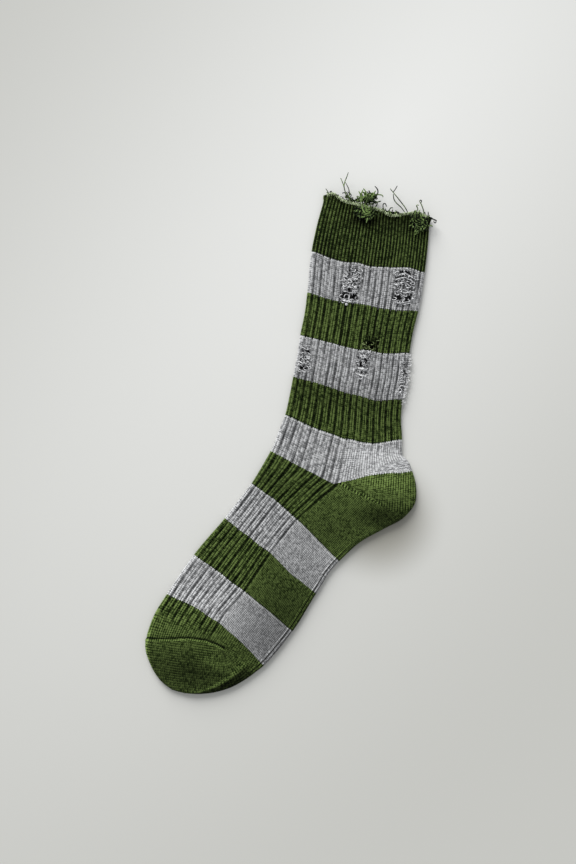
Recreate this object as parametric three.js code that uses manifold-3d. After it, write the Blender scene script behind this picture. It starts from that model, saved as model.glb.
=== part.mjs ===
// A ribbed crew sock with a raw, frayed rim and worn ladders in its leg, laid flat on its side.
// It is one knitted tube: the upper side and the lower side meet along the shin and the calf folds.
// Units are millimetres and +Z is up. +Y runs up the leg to the rim, and the foot points to -X and -Y.

import * as THREE from 'three';
import { mergeVertices } from 'three/addons/utils/BufferGeometryUtils.js';
import Module from 'manifold-3d';

const wasm = await Module();
wasm.setup();

// The knit
const WALL = 1.7; // thickness of the knit at the crest of a rib
const LEG_RIBS = 18; // ribs across one side of the leg, each as wide as two of the cuff
const RIB_DEPTH = 0.65; // crest to groove on the leg and the instep
const CUFF_RIB_DEPTH = 0.4; // crest to groove on the finer ribs of the cuff
const RIB_FADE = 4; // the instep ribs die out this far past their last course
const TOE_SEAM = { rise: 0.7, halfWidth: 1, endWale: 0.66 }; // the linked seam, from the shin fold on

// How the tube lies
const LAYER_GAP = 0.6; // air between the two sides, away from the folds
const PIECE_GAP = 0.3; // the sides part by this much along the folds, and a fray strip off its edge
const FOLD_ROUND = 3.4; // plan width of a rounded fold
const UNDER_ROUND = 2.6; // plan width of the same fold below, where the knit rests
const INNER_INSET = 1.9; // plan distance from a fold to the hollow inside it
const TOE_INSET = 4; // the hollow ends this far before the tip of the toe
const MIDDLE = WALL + LAYER_GAP / 2; // height of the folds above the surface

// Grid sizes
const ROW_STEP = 11; // longest step between rows along the ribbed skin
const PLAIN_ROW_STEP = 16; // and along the plain ones
const RIB_COLUMNS = 4; // points for each rib
const PLAIN_COLUMNS = 10; // steps across the plain sole half
const SOLE_FOLD_WALES = [0.975, 0.99]; // further wales where the sole rounds into its fold
const TOE_COLUMNS = 22;
const INNER_COLUMNS = 12;
const RIM_COLUMNS = 36;
const SEAM_ROW_OFFSET = 1.3; // rows this far before and past the toe seam
const COURSE_SLACK = 1; // a row this close to a course counts as that course
const SHORTEST_STEP = 0.5; // a course this close to the end of a skin gives it no row
const WELD = 1e-3; // points closer than this are one

// Colours
const MOSS = 0x35421f;
const MOSS_YARN = 0x3d4d26;

// Courses of the tube from rim to toe. a is the shin and instep fold, m the middle wale and b the
// calf and sole fold. sag says how far a course droops towards the toe between a and m and between m
// and b, and rib is the share of the rib depth that the course has on the sole half.
const COURSES = [
  { name: 'rim', a: [-34.5, 202.9], m: [1.8, 199.5], b: [42.4, 198.6], sag: [0, 0], rib: 1 },
  { name: 'cuff', a: [-37.4, 183.1], m: [2.6, 180.4], b: [43.8, 177], sag: [0.6, -0.4], rib: 1 },
  { name: 'stripe1', a: [-38.8, 162.5], m: [2.6, 157.5], b: [44.2, 158.9], sag: [1.6, -0.9], rib: 1 },
  { name: 'stripe2', a: [-37.6, 132.9], m: [2.9, 129.5], b: [43.5, 130.4], sag: [1.7, 1.3], rib: 1 },
  { name: 'shin', a: [-37.6, 117.6], m: [2.5, 113.7], b: [42, 115.7], sag: [0.7, 1.3], rib: 1 },
  { name: 'stripe3', a: [-38.4, 102.2], m: [2.3, 97.7], b: [41.5, 100.4], sag: [-0.3, 1.3], rib: 1 },
  { name: 'calf', a: [-38.8, 85.8], m: [2.1, 80.2], b: [42.2, 81.6], sag: [-0.3, 1.9], rib: 1 },
  { name: 'stripe4', a: [-39.3, 73], m: [1.5, 66.7], b: [41.4, 67.6], sag: [-0.3, 2.6], rib: 1 },
  { name: 'narrow', a: [-39.8, 60.6], m: [2.1, 51.9], b: [41.8, 54.6], sag: [0.2, 2.9], rib: 1 },
  { name: 'stripe5', a: [-41.2, 44.7], m: [2.6, 33.6], b: [44.7, 38.6], sag: [0.7, 3.2], rib: 0.9 },
  { name: 'ankle', a: [-43.6, 34], m: [1.4, 19], b: [46.4, 28], sag: [0.4, 1.2], rib: 0.4 },
  { name: 'stripe6', a: [-47.6, 18], m: [0, 0], b: [54.1, 18.5], sag: [0.1, -1.8], rib: 0 },
  { name: 'heel1', a: [-49.2, 13.8], m: [-0.4, -0.9], b: [58.9, 7.6], sag: [0, -1.4], rib: 0 },
  { name: 'heel2', a: [-50.8, 9.6], m: [-1.6, -2.6], b: [60.4, -5.3], sag: [-0.2, -0.9], rib: 0 },
  { name: 'heel3', a: [-52.4, 5.4], m: [-4.4, -6], b: [54, -17.1], sag: [-0.4, -0.4], rib: 0 },
  { name: 'heel4', a: [-54.3, 1.1], m: [-8.6, -11.6], b: [40.9, -27.3], sag: [-0.6, 0], rib: 0 },
  { name: 'heel5', a: [-55.9, -3.1], m: [-14.4, -19.4], b: [25.7, -38.8], sag: [-0.8, 0], rib: 0 },
  { name: 'stripe7', a: [-57.9, -7.4], m: [-21.4, -28.6], b: [12.7, -54.2], sag: [-1, -0.1], rib: 0 },
  { name: 'stripe8', a: [-73, -34.3], m: [-37.4, -54.7], b: [-0.5, -79.3], sag: [0.2, 1.1], rib: 0 },
  { name: 'stripe9', a: [-91.4, -63.7], m: [-52.1, -84.6], b: [-13.5, -108.4], sag: [-0.4, 0], rib: 0 },
  { name: 'stripe10', a: [-107.3, -95.1], m: [-67.4, -110], b: [-31, -136.7], sag: [-1.1, -0.8], rib: 0 },
  { name: 'ribEnd', a: [-113.4, -109], m: [-71.4, -119.6], b: [-35.4, -141.3], sag: [-0.8, -0.6], rib: 0 },
  { name: 'toeSeam', a: [-117.6, -130.2], m: [-75.4, -128.4], b: [-42.4, -148.1], sag: [-1, -0.6], rib: 0 },
  { name: 'toe1', a: [-116.6, -137.8], m: [-78.2, -136.8], b: [-50.3, -154.3], sag: [0, 0], rib: 0 },
  { name: 'toe2', a: [-113, -145.3], m: [-81.4, -145.2], b: [-58.4, -158.7], sag: [0, 0], rib: 0 },
  { name: 'toe3', a: [-108, -152.6], m: [-84.7, -152.6], b: [-66.7, -161.7], sag: [0, 0], rib: 0 },
  { name: 'toe4', a: [-101.3, -158.9], m: [-88.1, -159.3], b: [-75.9, -163.6], sag: [0, 0], rib: 0 },
  { name: 'tip', a: [-94.1, -163], m: [-89.7, -163.8], b: [-84.5, -164.3], sag: [0, 0], rib: 0 },
];

// Waves of the raw rim: at is the place across the side from shin to calf, rise is towards +Y
const RIM_WAVES = [
  { at: 0.08, width: 0.07, rise: 3.4 },
  { at: 0.66, width: 0.08, rise: -2.2 },
  { at: 0.88, width: 0.07, rise: 2 },
];
const RIM_WAVE_FADE = 14; // distance down the cuff over which the waves die out
const RIM_CURL = { rise: 1.3, length: 3 }; // the raw edge turns up a little

// Soft swells of the upper side, where the knit doesn't lie quite flat
const SWELLS = [
  { name: 'heel cup',     x: 40,   y: -3,   across: 20, along: 16, rise: 2.4 },
  { name: 'above heel',   x: 26,   y: 19,   across: 26, along: 9,  rise: 1.1 },
  { name: 'ankle bend',   x: -34,  y: 6,    across: 14, along: 16, rise: 0.7 },
  { name: 'ball of foot', x: -58,  y: -96,  across: 30, along: 26, rise: 0.8 },
  { name: 'toe cup',      x: -86,  y: -143, across: 22, along: 14, rise: 0.9 },
  { name: 'shin',         x: -20,  y: 84,   across: 12, along: 34, rise: 0.5 },
  { name: 'calf',         x: 24,   y: 112,  across: 14, along: 30, rise: 0.5 },
];

// Worn patches, where the ribs have slipped into a flat ladder
const WORN_PATCHES = [
  { name: 'middle ladder', x: -7.6, y: 144,   halfWidth: 6.6, halfLength: 14 },
  { name: 'calf ladder',   x: 29.6, y: 147,   halfWidth: 7.4, halfLength: 12 },
  { name: 'shin ladder',   x: -32.6, y: 85.6, halfWidth: 5,   halfLength: 12 },
  { name: 'stripe ladder', x: 10,   y: 95,    halfWidth: 6.4, halfLength: 15 },
];
const WORN_SINK = 0.35; // a worn patch lies this much lower
const WORN_EDGE = { from: 0.75, to: 1.1 }; // shares of its half size between which it fades out

// Gaps worn right through the upper side, each an uneven round hole
const RIP_HOLES = [
  { x: -4.6,  y: 135.2, width: 4.8, length: 5,   turn: 20 },
  { x: -10.8, y: 134.2, width: 3.4, length: 3.6, turn: -10 },
  { x: 25.6,  y: 138.6, width: 6,   length: 4.6, turn: -8 },
  { x: 32.6,  y: 139.4, width: 4.2, length: 4.2, turn: 12 },
  { x: 28,    y: 157.4, width: 8,   length: 2.8, turn: 4 },
  { x: -33.2, y: 79.6,  width: 4.4, length: 4,   turn: 30 },
  { x: 10,    y: 107.2, width: 4.8, length: 3,   turn: -20 },
  { x: 10.4,  y: 85.4,  width: 5.4, length: 4.8, turn: 10 },
];
const HOLE_SIDES = 9;
const HOLE_RAGGEDNESS = 0.14; // how unevenly a hole is torn, as a share of its size
const HOLE_CUT = WALL * 4; // height of the cut, from the middle of the sock up

// Frayed yarn
const YARN = 0.42; // radius of a loose strand
const STRAND_STEPS = 5;
const REACH_SPREAD = 0.14; // how much shorter the next strand of a layer is
const OVER_CUFF_LEAN = 140; // a strand that leans more than this falls back over the cuff
const STRIP_WIDTH = 1; // a fray's root strip, in plan
const STRIP_HEIGHT = 1.3;
const STRIP_STEP = 2.5; // length of one straight piece of a strip
const STRIP_POINTS = 16; // points that shape a strip along its edge
const STRIP_INSIDE = { distance: 1, wale: 0.97 }; // just inside the rim and just inside the calf fold
const STRIP_OFFSET = PIECE_GAP + STRIP_WIDTH / 2 + 0.15; // from the edge to the middle of its strip
const RIM_STRIP_HEIGHT = MIDDLE + 1.3; // level with the upper side's cut edge
const STRAND_SECTION = [0, 1, 2].map((k) => {
  const angle = (k * 2 * Math.PI) / 3;
  return new THREE.Vector2(Math.cos(angle) * YARN, Math.sin(angle) * YARN);
});
const STRIP_SECTION = [[-1, -1], [1, -1], [1, 1], [-1, 1]].map(
  ([up, out]) => new THREE.Vector2((up * STRIP_HEIGHT) / 2, (out * STRIP_WIDTH) / 2),
);

// Plan of the tube

// The x and the y columns of one line of the table, or its two columns of sag
const columnsOf = (key) => [0, 1].map((k) => COURSES.map((course) => course[key][k]));
const along = { a: columnsOf('a'), m: columnsOf('m'), b: columnsOf('b') };
const sags = columnsOf('sag');
const soleRib = COURSES.map((course) => course.rib);

// Distance of each course from the rim, the mean of what the two folds and the middle wale travel
const stations = [0];
for (let i = 1; i < COURSES.length; i++) {
  const steps = Object.values(along).map(([x, y]) => Math.hypot(x[i] - x[i - 1], y[i] - y[i - 1]));
  stations.push(stations[i - 1] + (steps[0] + steps[1] + steps[2]) / 3);
}
const LENGTH = stations[stations.length - 1];
const stationOf = (name) => stations[COURSES.findIndex((course) => course.name === name)];
const isBefore = (distance, name) => distance < stationOf(name) - COURSE_SLACK;

// A smooth curve through one column of the table, at a distance from the rim
function smooth(values, distance) {
  const last = values.length - 1;
  const d = THREE.MathUtils.clamp(distance, 0, LENGTH);
  let i = 0;
  while (i < last - 1 && d > stations[i + 1]) i += 1;
  const span = stations[i + 1] - stations[i];
  const steepness = (from, to) => (values[to] - values[from]) / (stations[to] - stations[from]);
  const slope = (j) => {
    const before = Math.max(j - 1, 0);
    const after = Math.min(j + 1, last);
    if (before === j || after === j) return steepness(before, after);
    const weight = (stations[j] - stations[before]) / (stations[after] - stations[before]);
    return steepness(j, after) * weight + steepness(before, j) * (1 - weight);
  };
  const t = (d - stations[i]) / span;
  const start = values[i] * (2 * t ** 3 - 3 * t ** 2 + 1) + slope(i) * span * (t ** 3 - 2 * t ** 2 + t);
  return start + values[i + 1] * (3 * t ** 2 - 2 * t ** 3) + slope(i + 1) * span * (t ** 3 - t ** 2);
}

const planPoint = ([x, y], distance) => new THREE.Vector2(smooth(x, distance), smooth(y, distance));

// The place on the surface of a wale (0 at the shin fold, 1 at the calf fold) at a distance from the
// rim. With an inset, the first and the last wale lie that far inside the folds.
function plan(distance, place, inset = 0) {
  const a = planPoint(along.a, distance);
  const m = planPoint(along.m, distance);
  const b = planPoint(along.b, distance);
  const width = a.distanceTo(m) + m.distanceTo(b);
  const wale = 0.5 + (place - 0.5) * (1 - (2 * inset) / width);
  const half = wale < 0.5 ? { from: a, to: m, share: wale * 2 } : { from: m, to: b, share: wale * 2 - 1 };
  const point = half.from.clone().lerp(half.to, half.share);
  const down = half.to.clone().sub(half.from).normalize();
  down.set(down.y, -down.x);
  const sag = smooth(wale < 0.5 ? sags[0] : sags[1], distance);
  point.addScaledVector(down, sag * Math.sin(Math.PI * half.share) ** 2);
  const wave = RIM_WAVES.reduce((sum, w) => sum + w.rise * Math.exp(-(((wale - w.at) / w.width) ** 2)), 0);
  point.addScaledVector(down, -wave * Math.exp(-((distance / RIM_WAVE_FADE) ** 2)));
  return { point, width };
}

// Heights

const bell = (x, y) => Math.exp(-(x * x + y * y));
const swellAt = ({ x, y }) =>
  SWELLS.reduce((sum, s) => sum + s.rise * bell((x - s.x) / s.across, (y - s.y) / s.along), 0);

// 0 at a fold, rising as a quarter ellipse to 1 at the given distance from it
function rounding(edgeDistance, reach) {
  const q = THREE.MathUtils.clamp(edgeDistance / reach, 0, 1);
  return Math.sqrt(1 - (1 - q) ** 2);
}

// 1 in the middle of a worn patch and 0 outside it
function wornAt(p) {
  const shares = WORN_PATCHES.map((patch) => {
    const across = Math.abs(p.x - patch.x) / patch.halfWidth;
    const up = Math.abs(p.y - patch.y) / patch.halfLength;
    return 1 - THREE.MathUtils.smoothstep(Math.max(across, up), WORN_EDGE.from, WORN_EDGE.to);
  });
  return Math.max(...shares);
}

// Depth below its crest of a point that lies in a groove between two ribs
function grooveDepth(distance, wale, column) {
  const onCuff = isBefore(distance, 'stripe1');
  const groove = onCuff ? column % (RIB_COLUMNS / 2) === 0 : column % RIB_COLUMNS === 0;
  if (!groove) return 0;
  const fadeEnd = stationOf('ribEnd') + RIB_FADE;
  const toeFade = 1 - THREE.MathUtils.smoothstep(distance, stationOf('stripe10'), fadeEnd);
  const share = wale > 0.5 ? smooth(soleRib, distance) : toeFade;
  return (onCuff ? CUFF_RIB_DEPTH : RIB_DEPTH) * share;
}

function upperOuter(distance, wale, column) {
  const { point, width } = plan(distance, wale);
  const edge = Math.min(wale, 1 - wale) * width;
  const tip = LENGTH - distance;
  const round = rounding(edge, FOLD_ROUND) * rounding(tip, FOLD_ROUND * 2);
  const worn = wornAt(point);
  const besideSeam = (distance - stationOf('toeSeam')) / TOE_SEAM.halfWidth;
  const seam = wale < TOE_SEAM.endWale ? TOE_SEAM.rise * Math.exp(-(besideSeam ** 2)) : 0;
  const curl = RIM_CURL.rise * Math.exp(-distance / RIM_CURL.length);
  const knit = WALL + seam + curl - grooveDepth(distance, wale, column) * (1 - worn) - WORN_SINK * worn;
  const rise = LAYER_GAP / 2 - PIECE_GAP / 2 + knit + swellAt(point);
  return new THREE.Vector3(point.x, point.y, MIDDLE + PIECE_GAP / 2 + rise * round);
}

function upperInner(distance, wale) {
  const { point, width } = plan(distance, wale, INNER_INSET);
  const edge = Math.min(wale, 1 - wale) * width;
  const round = rounding(edge, FOLD_ROUND) * rounding(LENGTH - TOE_INSET - distance, FOLD_ROUND * 2);
  const curl = RIM_CURL.rise * Math.exp(-distance / RIM_CURL.length);
  const rise = LAYER_GAP / 2 - PIECE_GAP / 2 + swellAt(point) + curl;
  return new THREE.Vector3(point.x, point.y, MIDDLE + PIECE_GAP / 2 + rise * round);
}

function lowerOuter(distance, wale) {
  const { point, width } = plan(distance, wale);
  const edge = Math.min(wale, 1 - wale) * width;
  const round = rounding(edge, UNDER_ROUND) * rounding(LENGTH - distance, UNDER_ROUND * 2);
  return new THREE.Vector3(point.x, point.y, (MIDDLE - PIECE_GAP / 2) * (1 - round));
}

function lowerInner(distance, wale) {
  const { point, width } = plan(distance, wale, INNER_INSET);
  const edge = Math.min(wale, 1 - wale) * width;
  const round = rounding(edge, FOLD_ROUND) * rounding(LENGTH - TOE_INSET - distance, FOLD_ROUND * 2);
  const drop = LAYER_GAP / 2 - PIECE_GAP / 2;
  return new THREE.Vector3(point.x, point.y, MIDDLE - PIECE_GAP / 2 - drop * round);
}

// Skins: a list of rows, each a list of points from the shin fold to the calf fold

// Distances of the rows: every course of the table, and even steps between them
function rowDistances(end, step, extra = []) {
  const marks = [...stations.filter((s) => s < end - SHORTEST_STEP), end];
  const rows = [];
  for (let i = 0; i + 1 < marks.length; i++) {
    const count = Math.ceil((marks[i + 1] - marks[i]) / step);
    for (let k = 0; k < count; k++) rows.push(marks[i] + ((marks[i + 1] - marks[i]) * k) / count);
  }
  return [...rows, end, ...extra].sort((p, q) => p - q);
}

const evenWales = (count) => Array.from({ length: count + 1 }, (_, i) => ({ wale: i / count, column: i }));

// Ribbed all across on the leg, ribbed on the instep half of the foot, and plain on the toe
function outerWales(distance) {
  const ribbed = LEG_RIBS * RIB_COLUMNS;
  if (isBefore(distance, 'stripe6')) return evenWales(ribbed);
  if (distance > stationOf('ribEnd') + RIB_FADE) return evenWales(TOE_COLUMNS);
  const instep = evenWales(ribbed).slice(0, ribbed / 2);
  const even = Array.from({ length: PLAIN_COLUMNS + 1 }, (_, i) => 0.5 + (0.5 * i) / PLAIN_COLUMNS);
  const sole = [...even, ...SOLE_FOLD_WALES].sort((p, q) => p - q);
  return [...instep, ...sole.map((wale) => ({ wale, column: 1 }))];
}

// Few points in the flat middle of a side, more where it rounds into a fold,
// and enough along the wavy rim to follow it
function foldWales(distance) {
  const count = distance < COURSE_SLACK ? RIM_COLUMNS : INNER_COLUMNS;
  return evenWales(count).map(({ wale }) => ({ wale: (1 - Math.cos(Math.PI * wale)) / 2, column: 1 }));
}

// Each point of a skin keeps its wale, by which the rows are joined
const skin = (distances, walesAt, pointAt) =>
  distances.map((distance) =>
    walesAt(distance).map(({ wale, column }) => Object.assign(pointAt(distance, wale, column), { wale })),
  );

// Triangles

// Joins two lines of points, which may differ in number, with a band of triangles. The next triangle
// takes a point of line A where stepOnA says so.
function zip(lineA, lineB, triangles, stepOnA) {
  let i = 0;
  let j = 0;
  while (i < lineA.length - 1 || j < lineB.length - 1) {
    if (j >= lineB.length - 1 || (i < lineA.length - 1 && stepOnA(lineA, i, lineB, j))) {
      triangles.push(lineA[i], lineB[j], lineA[i + 1]);
      i += 1;
    } else {
      triangles.push(lineA[i], lineB[j], lineB[j + 1]);
      j += 1;
    }
  }
}
const byWale = (lineA, i, lineB, j) => lineA[i + 1].wale <= lineB[j + 1].wale;
const byPlace = (lineA, i, lineB, j) =>
  lineA[i + 1].distanceTo(lineB[j]) <= lineA[i].distanceTo(lineB[j + 1]);

function toGeometry(points) {
  const geometry = new THREE.BufferGeometry().setFromPoints(points);
  const merged = mergeVertices(geometry, WELD);
  merged.computeVertexNormals();
  return merged;
}

// A closed wall between an outer and an inner skin, joined round their edges
function wallBetween(outer, inner) {
  const triangles = [];
  for (let r = 0; r + 1 < outer.length; r++) zip(outer[r], outer[r + 1], triangles, byWale);
  for (let r = 0; r + 1 < inner.length; r++) zip(inner[r + 1], inner[r], triangles, byWale);
  const edgeOf = (grid, pick) => grid.map(pick);
  const first = (row) => row[0];
  const final = (row) => row[row.length - 1];
  zip(inner[0], outer[0], triangles, byPlace);
  zip(final(outer), final(inner), triangles, byPlace);
  zip(edgeOf(outer, first), edgeOf(inner, first), triangles, byPlace);
  zip(edgeOf(inner, final), edgeOf(outer, final), triangles, byPlace);
  return triangles;
}

// Turns a closed surface the right way out
function facingOut(points) {
  let volume = 0;
  for (let i = 0; i < points.length; i += 3) {
    volume += points[i].dot(new THREE.Vector3().crossVectors(points[i + 1], points[i + 2]));
  }
  if (volume > 0) return points;
  const turned = [];
  for (let i = 0; i < points.length; i += 3) turned.push(points[i], points[i + 2], points[i + 1]);
  return turned;
}

// Solids for cutting and joining

function toSolid(geometry) {
  const bare = geometry.clone();
  bare.deleteAttribute('normal');
  bare.deleteAttribute('uv');
  const merged = mergeVertices(bare, WELD);
  const vertProperties = new Float32Array(merged.attributes.position.array);
  const triVerts = new Uint32Array(merged.index.array);
  return new wasm.Manifold(new wasm.Mesh({ numProp: 3, vertProperties, triVerts }));
}

function fromSolid(solid) {
  const mesh = solid.getMesh();
  const geometry = new THREE.BufferGeometry();
  geometry.setAttribute('position', new THREE.BufferAttribute(new Float32Array(mesh.vertProperties), 3));
  geometry.setIndex(new THREE.BufferAttribute(new Uint32Array(mesh.triVerts), 1));
  geometry.computeVertexNormals();
  return geometry;
}

function named(name, geometry, color) {
  const material = new THREE.MeshStandardMaterial({ color, roughness: 0.95, metalness: 0 });
  const mesh = new THREE.Mesh(geometry, material);
  mesh.name = name;
  return mesh;
}

// The upper side: ribbed outside, plain inside, with the worn holes cut through

function holePrism(hole, index) {
  const shape = new THREE.Shape();
  const outline = Array.from({ length: HOLE_SIDES }, (_, k) => {
    const angle = (2 * Math.PI * k) / HOLE_SIDES;
    const torn = 1 + HOLE_RAGGEDNESS * Math.sin(k * 2.4 + index * 1.7);
    const reach = new THREE.Vector2(hole.width, hole.length).multiplyScalar(torn / 2);
    return reach.multiply(new THREE.Vector2(Math.cos(angle), Math.sin(angle)));
  });
  shape.setFromPoints(outline);
  const prism = new THREE.ExtrudeGeometry(shape, { depth: HOLE_CUT, bevelEnabled: false });
  prism.rotateZ(THREE.MathUtils.degToRad(hole.turn));
  prism.translate(hole.x, hole.y, MIDDLE);
  return prism;
}

function upperSide() {
  const seam = stationOf('toeSeam');
  const besideSeam = [seam - SEAM_ROW_OFFSET, seam + SEAM_ROW_OFFSET];
  const outer = skin(rowDistances(LENGTH, ROW_STEP, besideSeam), outerWales, upperOuter);
  const inner = skin(rowDistances(LENGTH - TOE_INSET, PLAIN_ROW_STEP), foldWales, upperInner);
  let solid = toSolid(toGeometry(facingOut(wallBetween(outer, inner))));
  RIP_HOLES.forEach((hole, index) => {
    solid = solid.subtract(toSolid(holePrism(hole, index)));
  });
  return named('upper_side', fromSolid(solid), MOSS);
}

// The lower side: plain and flat below, where the sock rests

function lowerSide() {
  const outer = skin(rowDistances(LENGTH, PLAIN_ROW_STEP), foldWales, lowerOuter);
  const inner = skin(rowDistances(LENGTH - TOE_INSET, PLAIN_ROW_STEP), foldWales, lowerInner);
  return named('lower_side', toGeometry(facingOut(wallBetween(outer, inner))), MOSS);
}

// Frayed yarn: loose strands whose roots are fused into a narrow strip of unravelled edge

// A strip runs along the rim between two wales, or down the calf fold between two distances. Each
// row below is a layer of like strands: how many, where the first and the last one start as shares
// of the strip (at), their length (reach), the way that the first and the last one start off in
// degrees clockwise from +Y (lean), how far they turn on their way (curl), and how high they climb.
const FRAYS = {
  fray_left: {
    strip: { edge: 'rim', from: 0.02, to: 0.33 },
    layers: [
      { name: 'shin stub', count: 1, at: [0.08, 0.08], reach: 5, lean: [-40, -40], curl: 16, rise: 0.4 },
      { name: 'low fuzz', count: 4, at: [0.52, 0.8], reach: 6, lean: [-22, 4], curl: -20, rise: 0.2 },
      { name: 'first thread', count: 1, at: [0.66, 0.66], reach: 18, lean: [-36, -36], curl: 14, rise: 1.8 },
      { name: 'longest thread', count: 1, at: [0.76, 0.76], reach: 22, lean: [-36, -36], curl: 44, rise: 3 },
      { name: 'curl', count: 2, at: [0.9, 0.97], reach: 4, lean: [6, 10], curl: 40, rise: 0.4 },
    ],
  },
  fray_centre: {
    strip: { edge: 'rim', from: 0.36, to: 0.56 },
    layers: [
      { name: 'low fan', count: 7, at: [0.05, 0.94], reach: 9, lean: [-30, 22], curl: 44, rise: 0.1 },
      { name: 'middle fan', count: 6, at: [0.1, 0.9], reach: 12, lean: [-8, 60], curl: -50, rise: 1.5 },
      { name: 'upper fan', count: 5, at: [0.16, 0.86], reach: 14, lean: [-18, 40], curl: 60, rise: 2.9 },
      { name: 'over cuff', count: 6, at: [0.08, 0.86], reach: 13, lean: [206, 164], curl: 36, rise: 3.6 },
      { name: 'high on cuff', count: 4, at: [0.26, 0.74], reach: 10, lean: [214, 150], curl: -40, rise: 5 },
    ],
  },
  fray_right: {
    strip: { edge: 'rim', from: 0.6, to: 0.98 },
    layers: [
      { name: 'small rings', count: 2, at: [0.08, 0.2], reach: 5, lean: [-20, -16], curl: 110, rise: 0.3 },
      { name: 'two threads', count: 2, at: [0.5, 0.56], reach: 18, lean: [-60, -52], curl: 34, rise: 1.9 },
      { name: 'low fan', count: 6, at: [0.6, 0.97], reach: 7, lean: [-16, 64], curl: 30, rise: 0.1 },
      { name: 'upper fan', count: 5, at: [0.64, 0.96], reach: 9, lean: [-10, 60], curl: 60, rise: 1.6 },
      { name: 'ringed thread', count: 1, at: [0.76, 0.76], reach: 11, lean: [-14, -14], curl: 12, rise: 3 },
      { name: 'over cuff', count: 6, at: [0.58, 0.96], reach: 11, lean: [200, 160], curl: 40, rise: 3.6 },
    ],
  },
  fray_calf: {
    strip: { edge: 'calf', from: 103, to: 134 },
    layers: [
      { name: 'low loops', count: 8, at: [0.04, 0.96], reach: 3, lean: [78, 108], curl: 60, rise: -0.9 },
      { name: 'high loops', count: 7, at: [0.1, 0.9], reach: 3, lean: [66, 96], curl: 70, rise: 0.9 },
    ],
  },
};

// The line of a strip just outside the rim, or just outside the calf fold
function stripLine({ edge, from, to }) {
  const onRim = edge === 'rim';
  const points = Array.from({ length: STRIP_POINTS + 1 }, (_, k) => {
    const place = from + ((to - from) * k) / STRIP_POINTS;
    const { point } = onRim ? plan(0, place) : plan(place, 1);
    const inside = onRim ? plan(STRIP_INSIDE.distance, place).point : plan(place, STRIP_INSIDE.wale).point;
    const outward = point.clone().sub(inside).normalize();
    point.addScaledVector(outward, STRIP_OFFSET);
    return new THREE.Vector3(point.x, point.y, onRim ? RIM_STRIP_HEIGHT : MIDDLE);
  });
  return new THREE.CatmullRomCurve3(points);
}

// A prism swept along a curve, closed at both ends
function sweep(curve, outline, steps) {
  const options = { steps, bevelEnabled: false, extrudePath: curve };
  return new THREE.ExtrudeGeometry(new THREE.Shape(outline), options);
}

// The route of one strand. One that turns back over the cuff first climbs straight up.
function strandCurve(root, reach, lean, curl, rise) {
  const step = reach / STRAND_STEPS;
  const overCuff = lean > OVER_CUFF_LEAN;
  const place = root.clone();
  const points = [root.clone()];
  for (let k = 1; k <= STRAND_STEPS; k++) {
    const heading = THREE.MathUtils.degToRad(lean + (curl * (k - 1)) / (STRAND_STEPS - 1));
    const advance = overCuff && k === 1 ? 0 : step;
    place.x += Math.sin(heading) * advance;
    place.y += Math.cos(heading) * advance;
    points.push(new THREE.Vector3(place.x, place.y, root.z + rise * Math.min(1, k / 2)));
  }
  return new THREE.CatmullRomCurve3(points);
}

function layerStrands(strip, layer) {
  return Array.from({ length: layer.count }, (_, k) => {
    const share = layer.count > 1 ? k / (layer.count - 1) : 0;
    const root = strip.getPoint(THREE.MathUtils.lerp(...layer.at, share));
    const lean = THREE.MathUtils.lerp(...layer.lean, share);
    const reach = layer.reach * (1 - REACH_SPREAD * ((k * 2) % 3));
    return sweep(strandCurve(root, reach, lean, layer.curl, layer.rise), STRAND_SECTION, STRAND_STEPS);
  });
}

function fray(name, { strip, layers }) {
  const line = stripLine(strip);
  const strands = layers.flatMap((layer) => layerStrands(line, layer));
  const backing = toSolid(sweep(line, STRIP_SECTION, Math.ceil(line.getLength() / STRIP_STEP)));
  const fused = strands.reduce((solid, strand) => solid.add(toSolid(strand)), backing);
  return named(name, fromSolid(fused), MOSS_YARN);
}

// The sock, with its origin at the middle of the surface that it covers

const sock = new THREE.Group();
sock.add(upperSide(), lowerSide());
for (const [name, spec] of Object.entries(FRAYS)) sock.add(fray(name, spec));

const box = new THREE.Box3().setFromObject(sock);
const centre = box.getCenter(new THREE.Vector3());
sock.position.set(-centre.x, -centre.y, -box.min.z);

export default sock;
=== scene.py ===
import math
import random

import bpy
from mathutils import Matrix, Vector, noise


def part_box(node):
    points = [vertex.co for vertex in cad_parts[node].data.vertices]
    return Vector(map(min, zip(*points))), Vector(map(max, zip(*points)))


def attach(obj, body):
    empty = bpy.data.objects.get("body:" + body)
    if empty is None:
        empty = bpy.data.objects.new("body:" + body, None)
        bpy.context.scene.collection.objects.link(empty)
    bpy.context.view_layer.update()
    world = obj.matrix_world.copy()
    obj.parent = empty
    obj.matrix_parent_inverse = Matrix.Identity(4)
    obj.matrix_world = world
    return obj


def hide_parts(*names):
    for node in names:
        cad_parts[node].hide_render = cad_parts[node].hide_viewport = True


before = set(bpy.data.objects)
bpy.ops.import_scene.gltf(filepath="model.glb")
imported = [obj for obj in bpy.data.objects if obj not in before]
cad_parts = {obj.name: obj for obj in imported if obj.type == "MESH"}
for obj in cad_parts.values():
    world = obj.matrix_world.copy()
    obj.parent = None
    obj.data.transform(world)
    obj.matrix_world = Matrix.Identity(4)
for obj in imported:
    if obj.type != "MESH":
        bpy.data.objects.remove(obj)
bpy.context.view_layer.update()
bpy.ops.object.select_all(action="DESELECT")
MM = 0.001

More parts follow.
